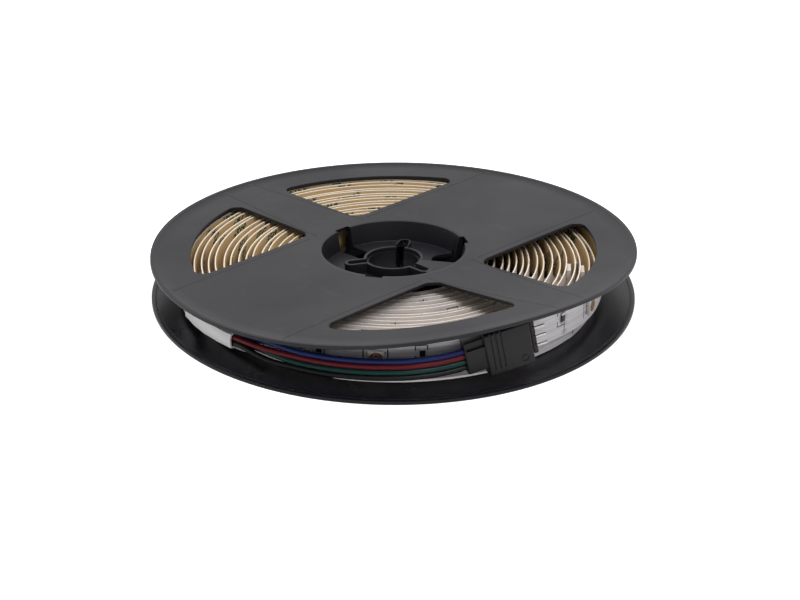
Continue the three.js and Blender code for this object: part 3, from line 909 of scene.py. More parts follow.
class Windows:
    """Tools that cut the four rounded windows of a flange."""

    def __init__(self, sizes: ReelSizes) -> None:
        """Keeps the reel's sizes."""
        self.sizes = sizes

    def across(self, degrees: float = -45) -> tuple[Vector, Vector]:
        """Gives the directions across and along the long bar."""
        return polar(1, degrees), polar(1, degrees + 90)

    def outline(self, side_across: int, side_along: int, grow: float) -> list[Vector]:
        """Lists the points of one window's rim, which has four rounded corners.

        Args:
            side_across: Side of the long bar, 1 or -1.
            side_along: Side of the cross bar, 1 or -1.
            grow: How far the rim lies outside the window's own.

        Returns:
            The points, in order.
        """
        size = self.sizes
        inner = size.window_radius - size.window_edge
        aside = size.long_bar_half + size.window_edge
        ahead = size.cross_bar_half + size.window_edge
        first = Vector((math.sqrt(inner**2 - ahead**2), ahead))
        last = Vector((aside, math.sqrt(inner**2 - aside**2)))
        tip = Vector((size.long_bar_half + size.window_tip, size.cross_bar_half + size.window_tip))
        start, end = math.atan2(first.y, first.x), math.atan2(last.y, last.x)
        arcs = (
            (tip, size.window_tip, math.pi, 1.5 * math.pi, 9),
            (first, size.window_edge, -0.5 * math.pi, start, 9),
            (Vector((0, 0)), size.window_radius, start + 0.02, end - 0.02, 24),
            (last, size.window_edge, end, math.pi, 9),
        )
        across, along = self.across()
        points = []
        for centre, radius, turn, to, count in arcs:
            for index in range(count):
                angle = turn + (to - turn) * index / (count - 1)
                x = centre.x + (radius + grow) * math.cos(angle)
                y = centre.y + (radius + grow) * math.sin(angle)
                points.append((across * side_across * x + along * side_along * y).xy)
        return points

    def tool(
        self, side_across: int, side_along: int, low: float, high: float, flare: float
    ) -> bpy.types.Object:
        """Makes the tool of one window, with a flared top for the chamfer of the window's edge.

        Args:
            side_across: Side of the long bar, 1 or -1.
            side_along: Side of the cross bar, 1 or -1.
            low: The tool's foot.
            high: The height at which its flared part starts.
            flare: How much wider the flared part is at the flange's face.

        Returns:
            The tool.
        """
        rim = self.outline(side_across, side_along, 0)
        wide = self.outline(side_across, side_along, 2 * flare)
        deselect_all()
        bpy.ops.mesh.primitive_circle_add(vertices=len(rim), fill_type="NGON")
        piece = bpy.context.object
        for vert, place in zip(piece.data.vertices, rim):
            vert.co = (place.x, place.y, low)
        with editing(piece):
            bpy.ops.mesh.select_all(action="SELECT")
            for rise in (high - low, 2 * flare):
                bpy.ops.mesh.extrude_region_move(TRANSFORM_OT_translate={"value": (0, 0, rise)})
        for vert in piece.data.vertices:
            if vert.co.z > high + flare:
                nearest = min(range(len(rim)), key=lambda index: (rim[index] - vert.co.xy).length)
                vert.co.xy = wide[nearest]
        tidy_mesh(piece)
        return piece

    def tools(self, low: float, high: float, flare: float) -> list[bpy.types.Object]:
        """Makes the tools of all four windows."""
        return [self.tool(a, b, low, high, flare) for a in (-1, 1) for b in (-1, 1)]


@dataclass
class LowerHalf:
    """The half that lies on the table: a flange with a thin lip, and the hub's outer barrel."""

    sizes: ReelSizes
    finish: MouldedPlastic
    slot_spare: float = 3.2
    slot_reach: float = 3
    slot_centre: float = 1.4
    slot_rise: float = 0.2
    rings: int = 4
    flare: float = 0.15

    def build(self) -> None:
        """Builds and dresses the half."""
        size = self.sizes
        top, shelf = size.flange, size.flange - size.lip_height
        wall_in = size.bore + size.hub_wall + size.slide_gap
        wall_out = wall_in + size.barrel_wall
        barrel_top = size.closed - 2 * size.lip_height - size.flange
        round_off = size.chamfer / 2
        lip_start = size.radius - size.chamfer - size.lip_width
        profile = [
            (size.bore, 0),
            (size.radius - size.chamfer, 0),
            (size.radius - round_off / 2, round_off / 2),
            (size.radius, size.chamfer),
            (size.radius, top - size.chamfer),
            (size.radius - round_off / 2, top - round_off / 2),
            (size.radius - size.chamfer, top),
            (lip_start + round_off, top),
            (lip_start, top - round_off / 2),
            (lip_start - round_off, shelf),
        ]
        inwards = wall_out - lip_start
        steps = [lip_start - round_off + inwards * i / self.rings for i in range(1, self.rings)]
        profile += [(radius, shelf) for radius in steps]
        profile += [
            (wall_out + round_off, shelf),
            (wall_out, shelf + round_off),
            (wall_out, barrel_top - round_off),
            (wall_out - round_off, barrel_top),
            (wall_in + round_off, barrel_top),
            (wall_in, barrel_top - round_off),
            (wall_in, shelf),
            (size.bore, shelf),
        ]
        piece = turned(profile, size.sides)
        cut_all(piece, Windows(size).tools(-1, shelf - self.flare, self.flare))
        for angle in size.slot_angles:
            tool = block(
                (self.slot_reach, size.slot_width + self.slot_spare, barrel_top),
                (wall_in + self.slot_centre, 0, shelf + barrel_top / 2 + self.slot_rise),
            )
            shape(piece, turn_about_axis(tool, angle), Cut.TAKE)
        piece.data.materials.clear()
        piece.data.materials.append(self.finish.build())
        seat(piece, "lower_half_dressed", [Side.LOWER.value])


@dataclass
class UpperHalf:
    """The raised half: a flexed flange with step lines, and the drafted hub well with its keyed boss."""

    sizes: ReelSizes
    flex: Flex
    finish: MouldedPlastic
    wall_length: float = 10.4
    draft: float = 1.3
    well_depth: float = 6.35
    floor: float = 1.0
    boss_radius: float = 9.2
    boss_wall: float = 0.85
    boss_drop: float = 3.2
    boss_length: float = 8.2
    boss_step: float = 1.2
    boss_ledge: float = 0.65
    lobe_reach: float = 15.5
    lobe_half: float = 2.15
    lobe_angles: tuple[float, ...] = (75, 195, 315)
    openings: tuple[tuple[float, float, float], ...] = ((135, 2.7, 9.6), (18, 4.0, 12.6), (-105, 2.7, 12.6))
    step_angles: tuple[float, float] = (-50, -14)
    seam_width: float = 0.12
    seam_depth: float = 0.1
    seam_step: float = 3.5
    panel_inset: float = 2.4
    rib_at_hub: float = 9.9
    rib_at_rim: float = 5.8
    edge_round: float = 0.11
    window_deep: float = 4
    above_step: float = 0.6
    slot_past: float = 0.05
    clear: float = 1
    rings: int = 14
    flare: float = 0.15

    def build(self) -> None:
        """Builds and dresses the half."""
        size = self.sizes
        piece = self.plate_and_well()
        floor_top = size.shelf - self.well_depth
        window_low = size.shelf - self.window_deep
        cut_all(piece, Windows(size).tools(window_low, size.shelf - self.flare, self.flare))
        boss_top = size.shelf - self.boss_drop
        boss_low = boss_top - self.boss_length
        shape(piece, self.step(floor_top, boss_top), Cut.ADD)
        for angle, half, start in self.openings:
            heights = (floor_top - self.floor - self.clear, boss_top + self.above_step)
            tool = stadium(start + half, size.bore - self.draft, half, *heights, angle, flat=True)
            shape(piece, tool, Cut.TAKE)
        boss = self.keyed(self.boss_radius, self.lobe_reach, self.lobe_half, boss_low, boss_top)
        shape(piece, boss, Cut.ADD)
        inner = self.boss_radius - self.boss_wall
        bore = self.keyed(
            inner - self.boss_ledge,
            self.lobe_reach - self.boss_wall,
            self.lobe_half - self.boss_wall,
            boss_low - self.clear,
            boss_top + self.clear,
        )
        shape(piece, bore, Cut.TAKE)
        ledge = cylinder(inner, boss_top - self.boss_step, boss_top + self.clear, ROUND_SIDES)
        shape(piece, ledge, Cut.TAKE)
        reach = (size.bore - self.draft - self.clear, size.bore + size.hub_wall + self.slot_past)
        low = size.shelf - self.wall_length - self.clear
        high = size.closed + self.clear
        for angle in size.slot_angles:
            tool = block(
                (reach[1] - reach[0], size.slot_width, high - low), (sum(reach) / 2, 0, (high + low) / 2)
            )
            shape(piece, turn_about_axis(tool, angle), Cut.TAKE)
        cut_all(piece, self.seams())
        with editing(piece):
            pick_edges(piece, lambda a, b: max(abs(a.z - boss_top), abs(b.z - boss_top)) < HAIR)
            bpy.ops.mesh.bevel(offset=self.edge_round, segments=2, affect="EDGES")
        self.flex.lift(piece)
        piece.data.materials.clear()
        piece.data.materials.append(self.finish.build())
        seat(piece, "upper_half_dressed", [Side.UPPER.value], 30)

    def plate_and_well(self) -> bpy.types.Object:
        """Turns the flange, the hub's wall and its floor in one.

        Returns:
            The plate with its well.
        """
        size = self.sizes
        low, shelf, top = size.closed - size.flange, size.shelf, size.closed
        wall_out = size.bore + size.hub_wall
        wall_low = shelf - self.wall_length
        floor_edge = size.bore - self.draft
        floor_top = shelf - self.well_depth
        round_off = size.chamfer / 2
        lip_start = size.radius - size.chamfer - size.lip_width
        radii = [wall_out + (lip_start - 0.3 - wall_out) * i / self.rings for i in range(self.rings + 1)]
        profile = [(size.bore, floor_top - self.floor), (size.bore, wall_low), (wall_out, wall_low)]
        profile += [(radius, low) for radius in radii]
        profile += [
            (size.radius - size.chamfer, low),
            (size.radius, low + size.chamfer),
            (size.radius, top - size.chamfer),
            (size.radius - round_off / 2, top - round_off / 2),
            (size.radius - size.chamfer, top),
            (lip_start + round_off, top),
            (lip_start, top - round_off / 2),
        ]
        profile += [(radius, shelf) for radius in reversed(radii)]
        profile += [
            (size.bore + 0.18, shelf),
            (size.bore + 0.05, shelf - 0.05),
            (size.bore, shelf - 0.18),
            (floor_edge, floor_top + 0.1),
            (floor_edge - 0.1, floor_top),
            (self.boss_radius - self.boss_wall / 2, floor_top),
            (self.boss_radius - self.boss_wall / 2, floor_top - self.floor),
        ]
        return turned(profile, size.sides)

    def step(self, floor_top: float, boss_top: float) -> bpy.types.Object:
        """Makes the raised step of the floor: a disc that is cut to a sector.

        Args:
            floor_top: Height of the floor's face.
            boss_top: Height of the step's face.

        Returns:
            The step.
        """
        piece = cylinder(self.sizes.bore - self.draft / 2, floor_top - self.floor / 2, boss_top, ROUND_SIDES)
        first, last = self.step_angles
        for normal in (polar(1, first + 90), polar(1, last - 90)):
            with editing(piece):
                bpy.ops.mesh.select_all(action="SELECT")
                bpy.ops.mesh.bisect(
                    plane_co=(0, 0, 0), plane_no=tuple(normal), use_fill=True, clear_inner=True
                )
        return piece

    def keyed(self, radius: float, reach: float, half: float, low: float, high: float) -> bpy.types.Object:
        """Makes a round post with three lobes.

        Args:
            radius: The post's radius.
            reach: How far the lobes reach from the axis.
            half: Half a lobe's width.
            low: The height of the foot.
            high: The height of the top.

        Returns:
            The post.
        """
        piece = cylinder(radius, low, high, ROUND_SIDES)
        for angle in self.lobe_angles:
            shape(piece, stadium(radius / 2, reach - half, half, low, high, angle), Cut.ADD)
        return piece

    def seams(self) -> list[bpy.types.Object]:
        """Makes the narrow tools that draw the step lines beside the panels and the ribs.

        Returns:
            The tools, two for each quarter of the flange.
        """
        size = self.sizes
        across, along = Windows(size).across()
        panel_half = size.long_bar_half - self.panel_inset
        panel_end = size.cross_bar_half + self.panel_inset
        rim = size.radius - size.lip_width - self.clear
        hub = size.bore + size.hub_wall
        panel_rim = math.sqrt(rim**2 - panel_half**2)
        rib_rim = math.sqrt(rim**2 - self.rib_at_rim**2)
        lines = (
            ((panel_half, panel_end), (panel_half, panel_rim)),
            ((hub, self.rib_at_hub), (rib_rim, self.rib_at_rim)),
        )
        tools = []
        for side in (-1, 1):
            for flank in (-1, 1):
                for line in lines:
                    start, end = (across * flank * x + along * side * y for x, y in line)
                    tools.append(self.seam(start, end))
        return tools

    def seam(self, start: Vector, end: Vector) -> bpy.types.Object:
        """Makes the tool of one step line.

        Args:
            start: Its start.
            end: Its end.

        Returns:
            The tool.
        """
        line = end - start
        piece = block((line.length, self.seam_width, 2 * self.seam_depth), (0, 0, 0))
        count = math.ceil(line.length / self.seam_step)
        for index in range(1, count):
            at = line.length * (index / count - 0.5)
            with editing(piece):
                bpy.ops.mesh.select_all(action="SELECT")
                bpy.ops.mesh.bisect(plane_co=(at, 0, 0), plane_no=(1, 0, 0))
        turn = Matrix.Rotation(math.atan2(line.y, line.x), 4, "Z")
        middle = (start + end) / 2
        piece.data.transform(Matrix.Translation((middle.x, middle.y, self.sizes.shelf)) @ turn)
        return piece


@dataclass(frozen=True)
class RollPath:
    """Path of the strip's middle: a spiral that winds outwards counter-clockwise."""

    start_radius: float = 26.39
    pitch: float = 2.2243
    turns: float = 17.768
    end_angle: float = 206.5
    wave_a: float = 0.22
    wave_b: float = 0.12
    flare: float = 0.6
    base: float = 1.5
    tall: float = 9.8
    outer_raise: float = 3.4
    outer_crest: float = 0.8
    outer_drop: float = 1.6
    end_raise: float = 1.45
    dish: float = 0.9
    sag: float = 0.28
    loose_waves: tuple[Point, ...] = ((0.25, 0.41), (0.22, 1.43), (0.14, 2.57), (0.06, 4.45))

    @property
    def start_angle(self) -> float:
        """Direction of the inner end, counted on from turn to turn."""
        return self.end_angle - 360 * self.turns

    def radius(self, degrees: float) -> float:
        """Gives the radius in a direction. The inner turns lie looser than the outer one.

        Args:
            degrees: The direction, counted on from turn to turn.

        Returns:
            The radius of the strip's middle.
        """
        turn = (degrees - self.start_angle) / 360
        round_angle = math.radians(degrees)
        waves = self.wave_a * math.sin(2 * round_angle + 0.6 * turn)
        waves += self.wave_b * math.sin(3 * round_angle - turn)
        flare = self.flare * smoothstep(degrees, self.end_angle - 45, self.end_angle - 8)
        waves *= smoothstep(self.end_angle - degrees, 0, 80)
        tight = self.start_radius + self.pitch * turn + waves + flare
        loose = sum(size * math.sin(rate * round_angle) for size, rate in self.loose_waves)
        ends = smoothstep(turn, 0, 1) * (1 - smoothstep(degrees, -400, -240))
        return tight + loose * ends

    def rise(self, degrees: float) -> float:
        """Gives the rise of the lower edge over its place on the flange.

        Args:
            degrees: The direction, counted on from turn to turn.

        Returns:
            The rise.
        """
        kept = self.outer_raise + self.outer_crest - self.outer_drop
        rise = self.outer_raise * smoothstep(degrees, -150, -105)
        rise += self.outer_crest * smoothstep(degrees, -90, -55)
        fall = self.outer_drop * smoothstep(degrees, -46, -20) + kept * smoothstep(degrees, -20, 50)
        turn = (degrees - self.start_angle) / 360
        facing = math.sin(math.radians(degrees))
        dish = self.dish * max(0.0, 1 - turn / (self.turns - 1)) * (0.5 - 0.5 * facing)
        loose = self.sag * (0.5 + 0.5 * math.sin(2.4 * turn + 0.7 * facing))
        inner = 1 - smoothstep(degrees, -240, -150)
        return rise - fall + self.end_raise * smoothstep(degrees, 140, 195) + dish - loose * inner

    def place(self, degrees: float, offset: float = 0) -> Vector:
        """Gives the foot of the strip, shifted outwards by an offset."""
        return polar(self.radius(degrees) + offset, degrees, self.base + self.rise(degrees))

    def frame_at(self, degrees: float, offset: float, up: float) -> Matrix:
        """Gives a place on the strip, with X outwards, Y along the strip and Z up.

        Args:
            degrees: The direction, counted on from turn to turn.
            offset: Distance outwards from the strip's middle.
            up: Height above the strip's lower edge.

        Returns:
            The place as a matrix.
        """
        ahead, behind = self.place(degrees + 2), self.place(degrees - 2)
        turn = math.atan2(ahead.y - behind.y, ahead.x - behind.x) - math.pi / 2
        spot = self.place(degrees, offset) + Vector((0, 0, up))
        return Matrix.Translation(spot) @ Matrix.Rotation(turn, 4, "Z")


@dataclass
class Ribbon:
    """A long band that follows the roll's path, drawn out edge by edge."""

    path: RollPath
    name: str
    offset: float
    thickness: float
    shorter: float
    end_angle: float
    step_degrees: float = 3.0
    inner_lap: float = 70.0

    def stations(self) -> list[float]:
        """Lists the directions at which the band has an edge.

        Returns:
            The directions, counted on from turn to turn.
        """
        start = self.path.start_angle - self.inner_lap
        count = round((self.end_angle - start) / self.step_degrees)
        return [start + (self.end_angle - start) * i / count for i in range(count + 1)]

    def build(self) -> bpy.types.Object:
        """Draws the band out, unrolls its UV map and gives it its thickness.

        Returns:
            The band.
        """
        lift = Vector((0, 0, self.shorter / 2))
        feet = [self.path.place(angle, self.offset) + lift for angle in self.stations()]
        tall = self.path.tall - self.shorter
        deselect_all()
        bpy.ops.mesh.primitive_plane_add(size=tall)
        piece = bpy.context.object
        up = Vector((0, 0, tall))
        for vert, place in zip(piece.data.vertices, (feet[0], feet[1], feet[0] + up, feet[1] + up)):
            vert.co = place
        with editing(piece):
            pick_points(piece, lambda co: (co - feet[1]).length < 1e-3 or (co - feet[1] - up).length < 1e-3)
            for last, foot in zip(feet[1:], feet[2:]):
                bpy.ops.mesh.extrude_region_move(TRANSFORM_OT_translate={"value": tuple(foot - last)})
        self.unroll(piece, feet)
        for _ in range(3):
            piece.data.materials.append(None)
        apply_modifier(
            piece,
            "SOLIDIFY",
            thickness=self.thickness,
            offset=0,
            use_even_offset=True,
            material_offset=1,
            material_offset_rim=2,
        )
        return piece

    def unroll(self, piece: bpy.types.Object, feet: Sequence[Vector]) -> None:
        """Writes the distance along the band and the height above its foot, in millimetres, to its UV map.

        Args:
            piece: The band, one sheet thick.
            feet: The feet of its edges, in order.
        """
        along = [0.0]
        for first, second in zip(feet, feet[1:]):
            along.append(along[-1] + (second - first).length)
        mesh = piece.data
        layer = mesh.uv_layers[0] if mesh.uv_layers else mesh.uv_layers.new()
        layer.name = "Strip"
        for loop in mesh.loops:
            index = loop.vertex_index
            station = index % 2 if index < 4 else 2 + (index - 4) // 2
            up = mesh.vertices[index].co.z - feet[station].z
            layer.data[loop.index].uv = (along[station], up + self.shorter / 2)


@dataclass
class StripRoll:
    """The wound strip with its liner, and the small parts on it."""

    path: RollPath
    board: float = 0.34
    board_shift: float = 0.08
    liner: float = 0.14
    liner_shift: float = -0.2
    liner_end: float = 190
    led_pitch: float = 39.0
    first_led_angle: float = -129.3
    led_count: int = 9
    led_long: float = 5.4
    led_tall: float = 5.0
    led_height: float = 1.2
    led_shy: float = 0.1
    cup_radius: float = 2.05
    cup_deep: float = 0.3
    cup_sides: int = 40
    resin_radius: float = 2.03
    die_angles: tuple[float, ...] = (90, 210, 330)
    die_radius: float = 0.95
    die_side: float = 0.62
    lead_rows: tuple[float, ...] = (-1.6, 0, 1.6)
    lead_size: tuple[float, float, float] = (0.35, 0.45, 0.85)
    chip_size: tuple[float, float, float] = (0.55, 1.6, 3.2)
    chip_end: float = 1.05
    solder: float = 0.02
    resistor_offsets: tuple[float, float] = (22.2, 13.2)
    resistor_rise: float = 1.2
    inner_led_lap: float = 40
    inner_led_least: float = 0.3

    def build(self) -> None:
        """Builds the strip, the liner and everything soldered to the strip."""
        strip = Ribbon(self.path, "light_strip_dressed", self.board_shift, self.board, 0, self.path.end_angle)
        piece = strip.build()
        first = self.distance(strip, self.first_led_angle)
        face = BoardFace(self.led_pitch, first, self.resistor_offsets, self.path.tall)
        self.dress(piece, face.build(), BACKING.build(), BOARD_EDGE.build())
        seat(piece, strip.name, ["light_strip"], 60)
        liner = Ribbon(self.path, "release_liner_dressed", self.liner_shift, self.liner, 0.4, self.liner_end)
        piece = liner.build()
        kraft = KraftPaper().build()
        self.dress(piece, kraft, kraft, LINER_EDGE.build())
        seat(piece, liner.name, ["release_liner"], 60)
        self.outer_parts()
        self.inner_leds()

    @property
    def face(self) -> float:
        """Distance of the board's outer face from the path, with a hair of solder."""
        return self.board_shift + self.board / 2 + self.solder

    def distance(self, strip: Ribbon, degrees: float) -> float:
        """Gives the distance along the strip at which it points in a direction.

        Args:
            strip: The band that is the strip.
            degrees: The direction, counted on from turn to turn.

        Returns:
            The distance from the inner end.
        """
        stations = [angle for angle in strip.stations() if angle <= degrees]
        feet = [self.path.place(angle, strip.offset) for angle in (*stations, degrees)]
        return sum((b - a).length for a, b in zip(feet, feet[1:]))

    def dress(self, piece: bpy.types.Object, *materials: bpy.types.Material) -> None:
        """Fills the material slots of a band: its face, its back and its edges."""
        for index, material in enumerate(materials):
            piece.data.materials[index] = material

    def outer_parts(self) -> None:
        """Places the detailed LED packages and resistors of the outer turn."""
        led_model, resistor_model = self.led(), self.resistor()
        angle = self.first_led_angle
        for index in range(self.led_count):
            per_mm = math.degrees(1 / self.path.radius(angle))
            self.copy(led_model, f"led_{index + 1}", angle, self.path.tall / 2, "led_case")
            offset = self.resistor_offsets[index % 2]
            up = self.path.tall / 2 + self.resistor_rise
            self.copy(resistor_model, f"resistor_{index + 1}", angle + offset * per_mm, up, "chip")
            angle += self.led_pitch * per_mm
        for model in (led_model, resistor_model):
            bpy.data.objects.remove(model, do_unlink=True)

    def copy(self, model: bpy.types.Object, node: str, degrees: float, up: float, slot: str) -> None:
        """Copies a small part to its place on the outer turn.

        Args:
            model: The part, with its foot on X = 0.
            node: The solid that the copy stands for.
            degrees: Its direction.
            up: Height of its middle above the strip's lower edge.
            slot: Not used.
        """
        piece = model.copy()
        piece.data = model.data.copy()
        bpy.context.collection.objects.link(piece)
        piece.data.transform(self.path.frame_at(degrees, self.face, up))
        seat(piece, f"{node}_dressed", [node], 30)

    def led(self) -> bpy.types.Object:
        """Models one LED package: its case with a round cup, three dies in the resin and six leads.

        Returns:
            The package, with its foot on X = 0.
        """
        height, half = self.led_height, self.led_tall / 2
        side = 2 * half - self.led_shy
        case = block((height - self.led_shy, side, side), (height / 2 + self.led_shy / 2, 0, 0))
        with editing(case):
            pick_edges(case, lambda a, b: min(a.y, b.y) > half - 0.2 and min(a.z, b.z) > half - 0.2)
            bpy.ops.mesh.bevel(offset=0.6, segments=1, affect="EDGES")
        soften(case, 0.12)
        upright = Matrix.Rotation(math.pi / 2, 4, "Y")
        cup = cylinder(self.cup_radius, 0, 0.45, self.cup_sides)
        with editing(cup):
            pick_points(cup, lambda co: co.z > 0.4)
            bpy.ops.transform.resize(value=(1.08, 1.08, 1), center_override=(0, 0, 0.45))
        cup.data.transform(Matrix.Translation((height - self.cup_deep, 0, 0)) @ upright)
        shape(case, cup, Cut.TAKE)
        case.data.materials.append(LED_CASE.build())
        resin = cylinder(self.resin_radius, 0, 0.1, self.cup_sides)
        with editing(resin):
            pick_points(resin, lambda co: co.z > 0.05)
            bpy.ops.mesh.inset(thickness=0.9, depth=0.05)
        resin.data.transform(Matrix.Translation((height - 0.28, 0, 0)) @ upright)
        resin.data.materials.append(LED_RESIN.build())
        parts = [case, resin]
        for turn in self.die_angles:
            spot = polar(self.die_radius, turn)
            die = block((0.12, self.die_side, self.die_side), (height - 0.14, spot.x, spot.y))
            soften(die, 0.05, 1)
            die.data.materials.append(LED_DIE.build())
            parts.append(die)
            pad = block((0.06, 1.25, 1.0), (height - 0.15, spot.x * 1.15, spot.y * 1.15))
            soften(pad, 0.2, 2)
            pad.data.materials.append(LED_PAD.build())
            parts.append(pad)
        for side in (-1, 1):
            for row in self.lead_rows:
                lead = block(self.lead_size, (0.2, side * (half - self.solder), row))
                soften(lead, 0.06, 1)
                lead.data.materials.append(TINNED.build())
                parts.append(lead)
        return joined("led_model", parts)

    def resistor(self) -> bpy.types.Object:
        """Models one chip resistor: a dark body and two tinned ends, cut off by two planes.

        Returns:
            The resistor, with its foot on X = 0.
        """
        piece = block(self.chip_size, (self.chip_size[0] / 2 + self.solder, 0, 0))
        for level in (-self.chip_end, self.chip_end):
            with editing(piece):
                bpy.ops.mesh.select_all(action="SELECT")
                bpy.ops.mesh.bisect(plane_co=(0, 0, level), plane_no=(0, 0, 1))
        soften(piece, 0.07, 2)
        piece.data.materials.append(CHIP_BODY.build())
        piece.data.materials.append(TINNED.build())
        for face in piece.data.polygons:
            face.material_index = int(abs(face.center.z) > self.chip_end)
        return piece

    def inner_leds(self) -> None:
        """Adds the LED packages of the inner turns, small and plain, as one piece."""
        deselect_all()
        parts = []
        angle = self.first_led_angle
        angle -= math.degrees(self.led_pitch / self.path.radius(angle))
        model = block((1, self.led_long - 0.4, self.led_tall - self.led_shy), (0.5, 0, 0))
        with editing(model):
            pick_points(model, lambda co: co.x > 0.5)
            bpy.ops.mesh.inset(thickness=0.5)
            bpy.ops.transform.translate(value=(-0.3, 0, 0))
        model.data.materials.append(LED_CASE.build())
        model.data.materials.append(LED_RESIN.build())
        for face in model.data.polygons:
            face.material_index = int(0.5 < face.center.x < 0.95)
        while angle > self.path.start_angle + self.inner_led_lap:
            space = self.path.radius(angle + 360) - self.path.radius(angle)
            height = min(self.led_height, max(self.inner_led_least, space - 2 * self.face - 0.05))
            piece = model.copy()
            piece.data = model.data.copy()
            bpy.context.collection.objects.link(piece)
            place = self.path.frame_at(angle, self.face, self.path.tall / 2)
            piece.data.transform(place @ Matrix.Scale(height, 4, (1, 0, 0)))
            parts.append(piece)
            angle -= math.degrees(self.led_pitch / self.path.radius(angle))
        bpy.data.objects.remove(model, do_unlink=True)
        seat(joined("inner_leds", parts), "inner_leds", [], 30)


@dataclass
class Lead:
    """The white sleeve over the soldered joints, and the four wires that run to the connector."""

    path: RollPath
    connector: "Connector"
    radius: float = 0.87
    pitch: float = 1.8
    names: tuple[str, ...] = ("wire_black", "wire_green", "wire_red", "wire_blue")
    bundle: tuple[tuple[int, int], ...] = ((1, -1), (-1, -1), (1, 1), (-1, 1))
    rise_angles: Point = (-132, -120)
    align_angles: Point = (-126, -114)
    sleeve_lap: float = 0.4
    sleeve_beyond: float = 0.7
    sleeve_spread: float = 20.3
    sleeve_standoff: float = 1.3
    sleeve_wall: float = 0.55
    sleeve_height: float = 8.95
    sleeve_fall: float = 0.55
    sleeve_at_strip: Point = (3.2, 6.3)
    bundle_side: float = 5.2
    shrunk_by: float = 0.8
    sleeve_sides: int = 48
    sleeve_steps: int = 40
    into_sleeve: float = 4.5
    into_neck: float = 2.4
    lead_in: float = 2.5
    stations: tuple[tuple[float, float, float], ...] = (
        (-134, 67.8, 8.4),
        (-129, 67.9, 8.5),
        (-124.5, 68, 8.45),
        (-120, 68.2, 8.35),
        (-115, 68.2, 8.1),
        (-110, 68.2, 7.9),
        (-101, 68.2, 7.8),
        (-91, 68.4, 8.0),
        (-84, 68.8, 8.5),
    )

    @property
    def sleeve_radius(self) -> float:
        """Radius on which the sleeve's middle lies."""
        return self.path.radius(self.path.end_angle) + self.sleeve_standoff

    @property
    def sleeve_end(self) -> float:
        """Direction of the sleeve's mouth."""
        return self.path.end_angle + self.sleeve_beyond + self.sleeve_spread

    def build(self) -> None:
        """Builds the wires and the sleeve."""
        for row, name in enumerate(self.names):
            self.wire(row, name)
        self.sleeve()

    def station(self, row: int, angle: float, radius: float, height: float) -> Vector:
        """Places one wire at a station of the route: two by two in the sleeve, then in one column.

        Args:
            row: The wire's place in the column, from below.
            angle: The station's direction.
            radius: The bundle's radius there.
            height: The height of the bundle's middle there.

        Returns:
            The wire's place.
        """
        outwards, up = (half * self.pitch / 2 for half in self.bundle[row])
        column = (row - (len(self.names) - 1) / 2) * self.pitch
        share = smoothstep(angle, *self.rise_angles)
        aside = outwards * (1 - smoothstep(angle, *self.align_angles))
        return polar(radius + aside, angle, height + up + (column - up) * share)

    def route(self, row: int) -> list[Vector]:
        """Lists the points of one wire's route.

        Args:
            row: The wire's place in the column, from below.

        Returns:
            The points, from the sleeve to the connector.
        """
        into = self.sleeve_end - 360 - math.degrees(self.into_sleeve / self.sleeve_radius)
        points = [self.station(row, into, self.sleeve_radius, self.sleeve_height - self.sleeve_fall)]
        points += [self.station(row, *station) for station in self.stations]
        rise = self.connector.wire_height + (row - (len(self.names) - 1) / 2) * self.pitch
        for x in (-self.lead_in, self.into_neck):
            points.append(self.connector.at((x - self.connector.neck_end, -self.connector.wire_depth, rise)))
        return points

    def wire(self, row: int, name: str) -> None:
        """Draws one wire as a round curve and makes it a mesh.

        Args:
            row: Its place in the stack, from below.
            name: Its solid and material slot.
        """
        curve = bpy.data.curves.new(name, "CURVE")
        curve.dimensions = "3D"
        curve.bevel_depth = self.radius
        curve.bevel_resolution = 5
        curve.use_fill_caps = True
        curve.resolution_u = 10
        spline = curve.splines.new("BEZIER")
        route = self.route(row)
        spline.bezier_points.add(len(route) - 1)
        for point, place in zip(spline.bezier_points, route):
            point.co = place
            point.handle_left_type = point.handle_right_type = "AUTO"
        piece = bpy.data.objects.new(name, curve)
        bpy.context.collection.objects.link(piece)
        hold(piece)
        bpy.ops.object.convert(target="MESH")
        piece = bpy.context.object
        piece.data.materials.clear()
        piece.data.materials.append(WIRE_FINISH[name].build())
        seat(piece, f"{name}_dressed", [name], 60)

    def sleeve(self) -> None:
        """Spins a ring into a tube, then shrinks it from the strip's end to the wires."""
        radius = self.sleeve_radius
        start = self.path.end_angle - self.sleeve_lap
        spread = self.sleeve_end - start
        deselect_all()
        bpy.ops.mesh.primitive_circle_add(vertices=self.sleeve_sides, radius=1)
        piece = bpy.context.object
        with editing(piece):
            bpy.ops.mesh.select_all(action="SELECT")
            bpy.ops.transform.rotate(value=math.pi / 2, orient_axis="X", center_override=(0, 0, 0))
            bpy.ops.transform.translate(value=(radius, 0, 0))
            bpy.ops.mesh.spin(
                steps=self.sleeve_steps, angle=-math.radians(spread), center=(0, 0, 0), axis=(0, 0, 1)
            )
        tidy_mesh(piece)
        for vert in piece.data.vertices:
            turned_by = math.degrees(math.atan2(vert.co.y, vert.co.x))
            vert.co = self.shrunk(turned_by / spread, vert.co.xy.length - radius, vert.co.z, start, spread)
        tidy_mesh(piece)
        apply_modifier(piece, "SOLIDIFY", thickness=self.sleeve_wall, offset=-1, use_even_offset=True)
        piece.data.materials.append(SLEEVE_FINISH.build())
        seat(piece, "solder_sleeve_dressed", ["solder_sleeve"], 50)

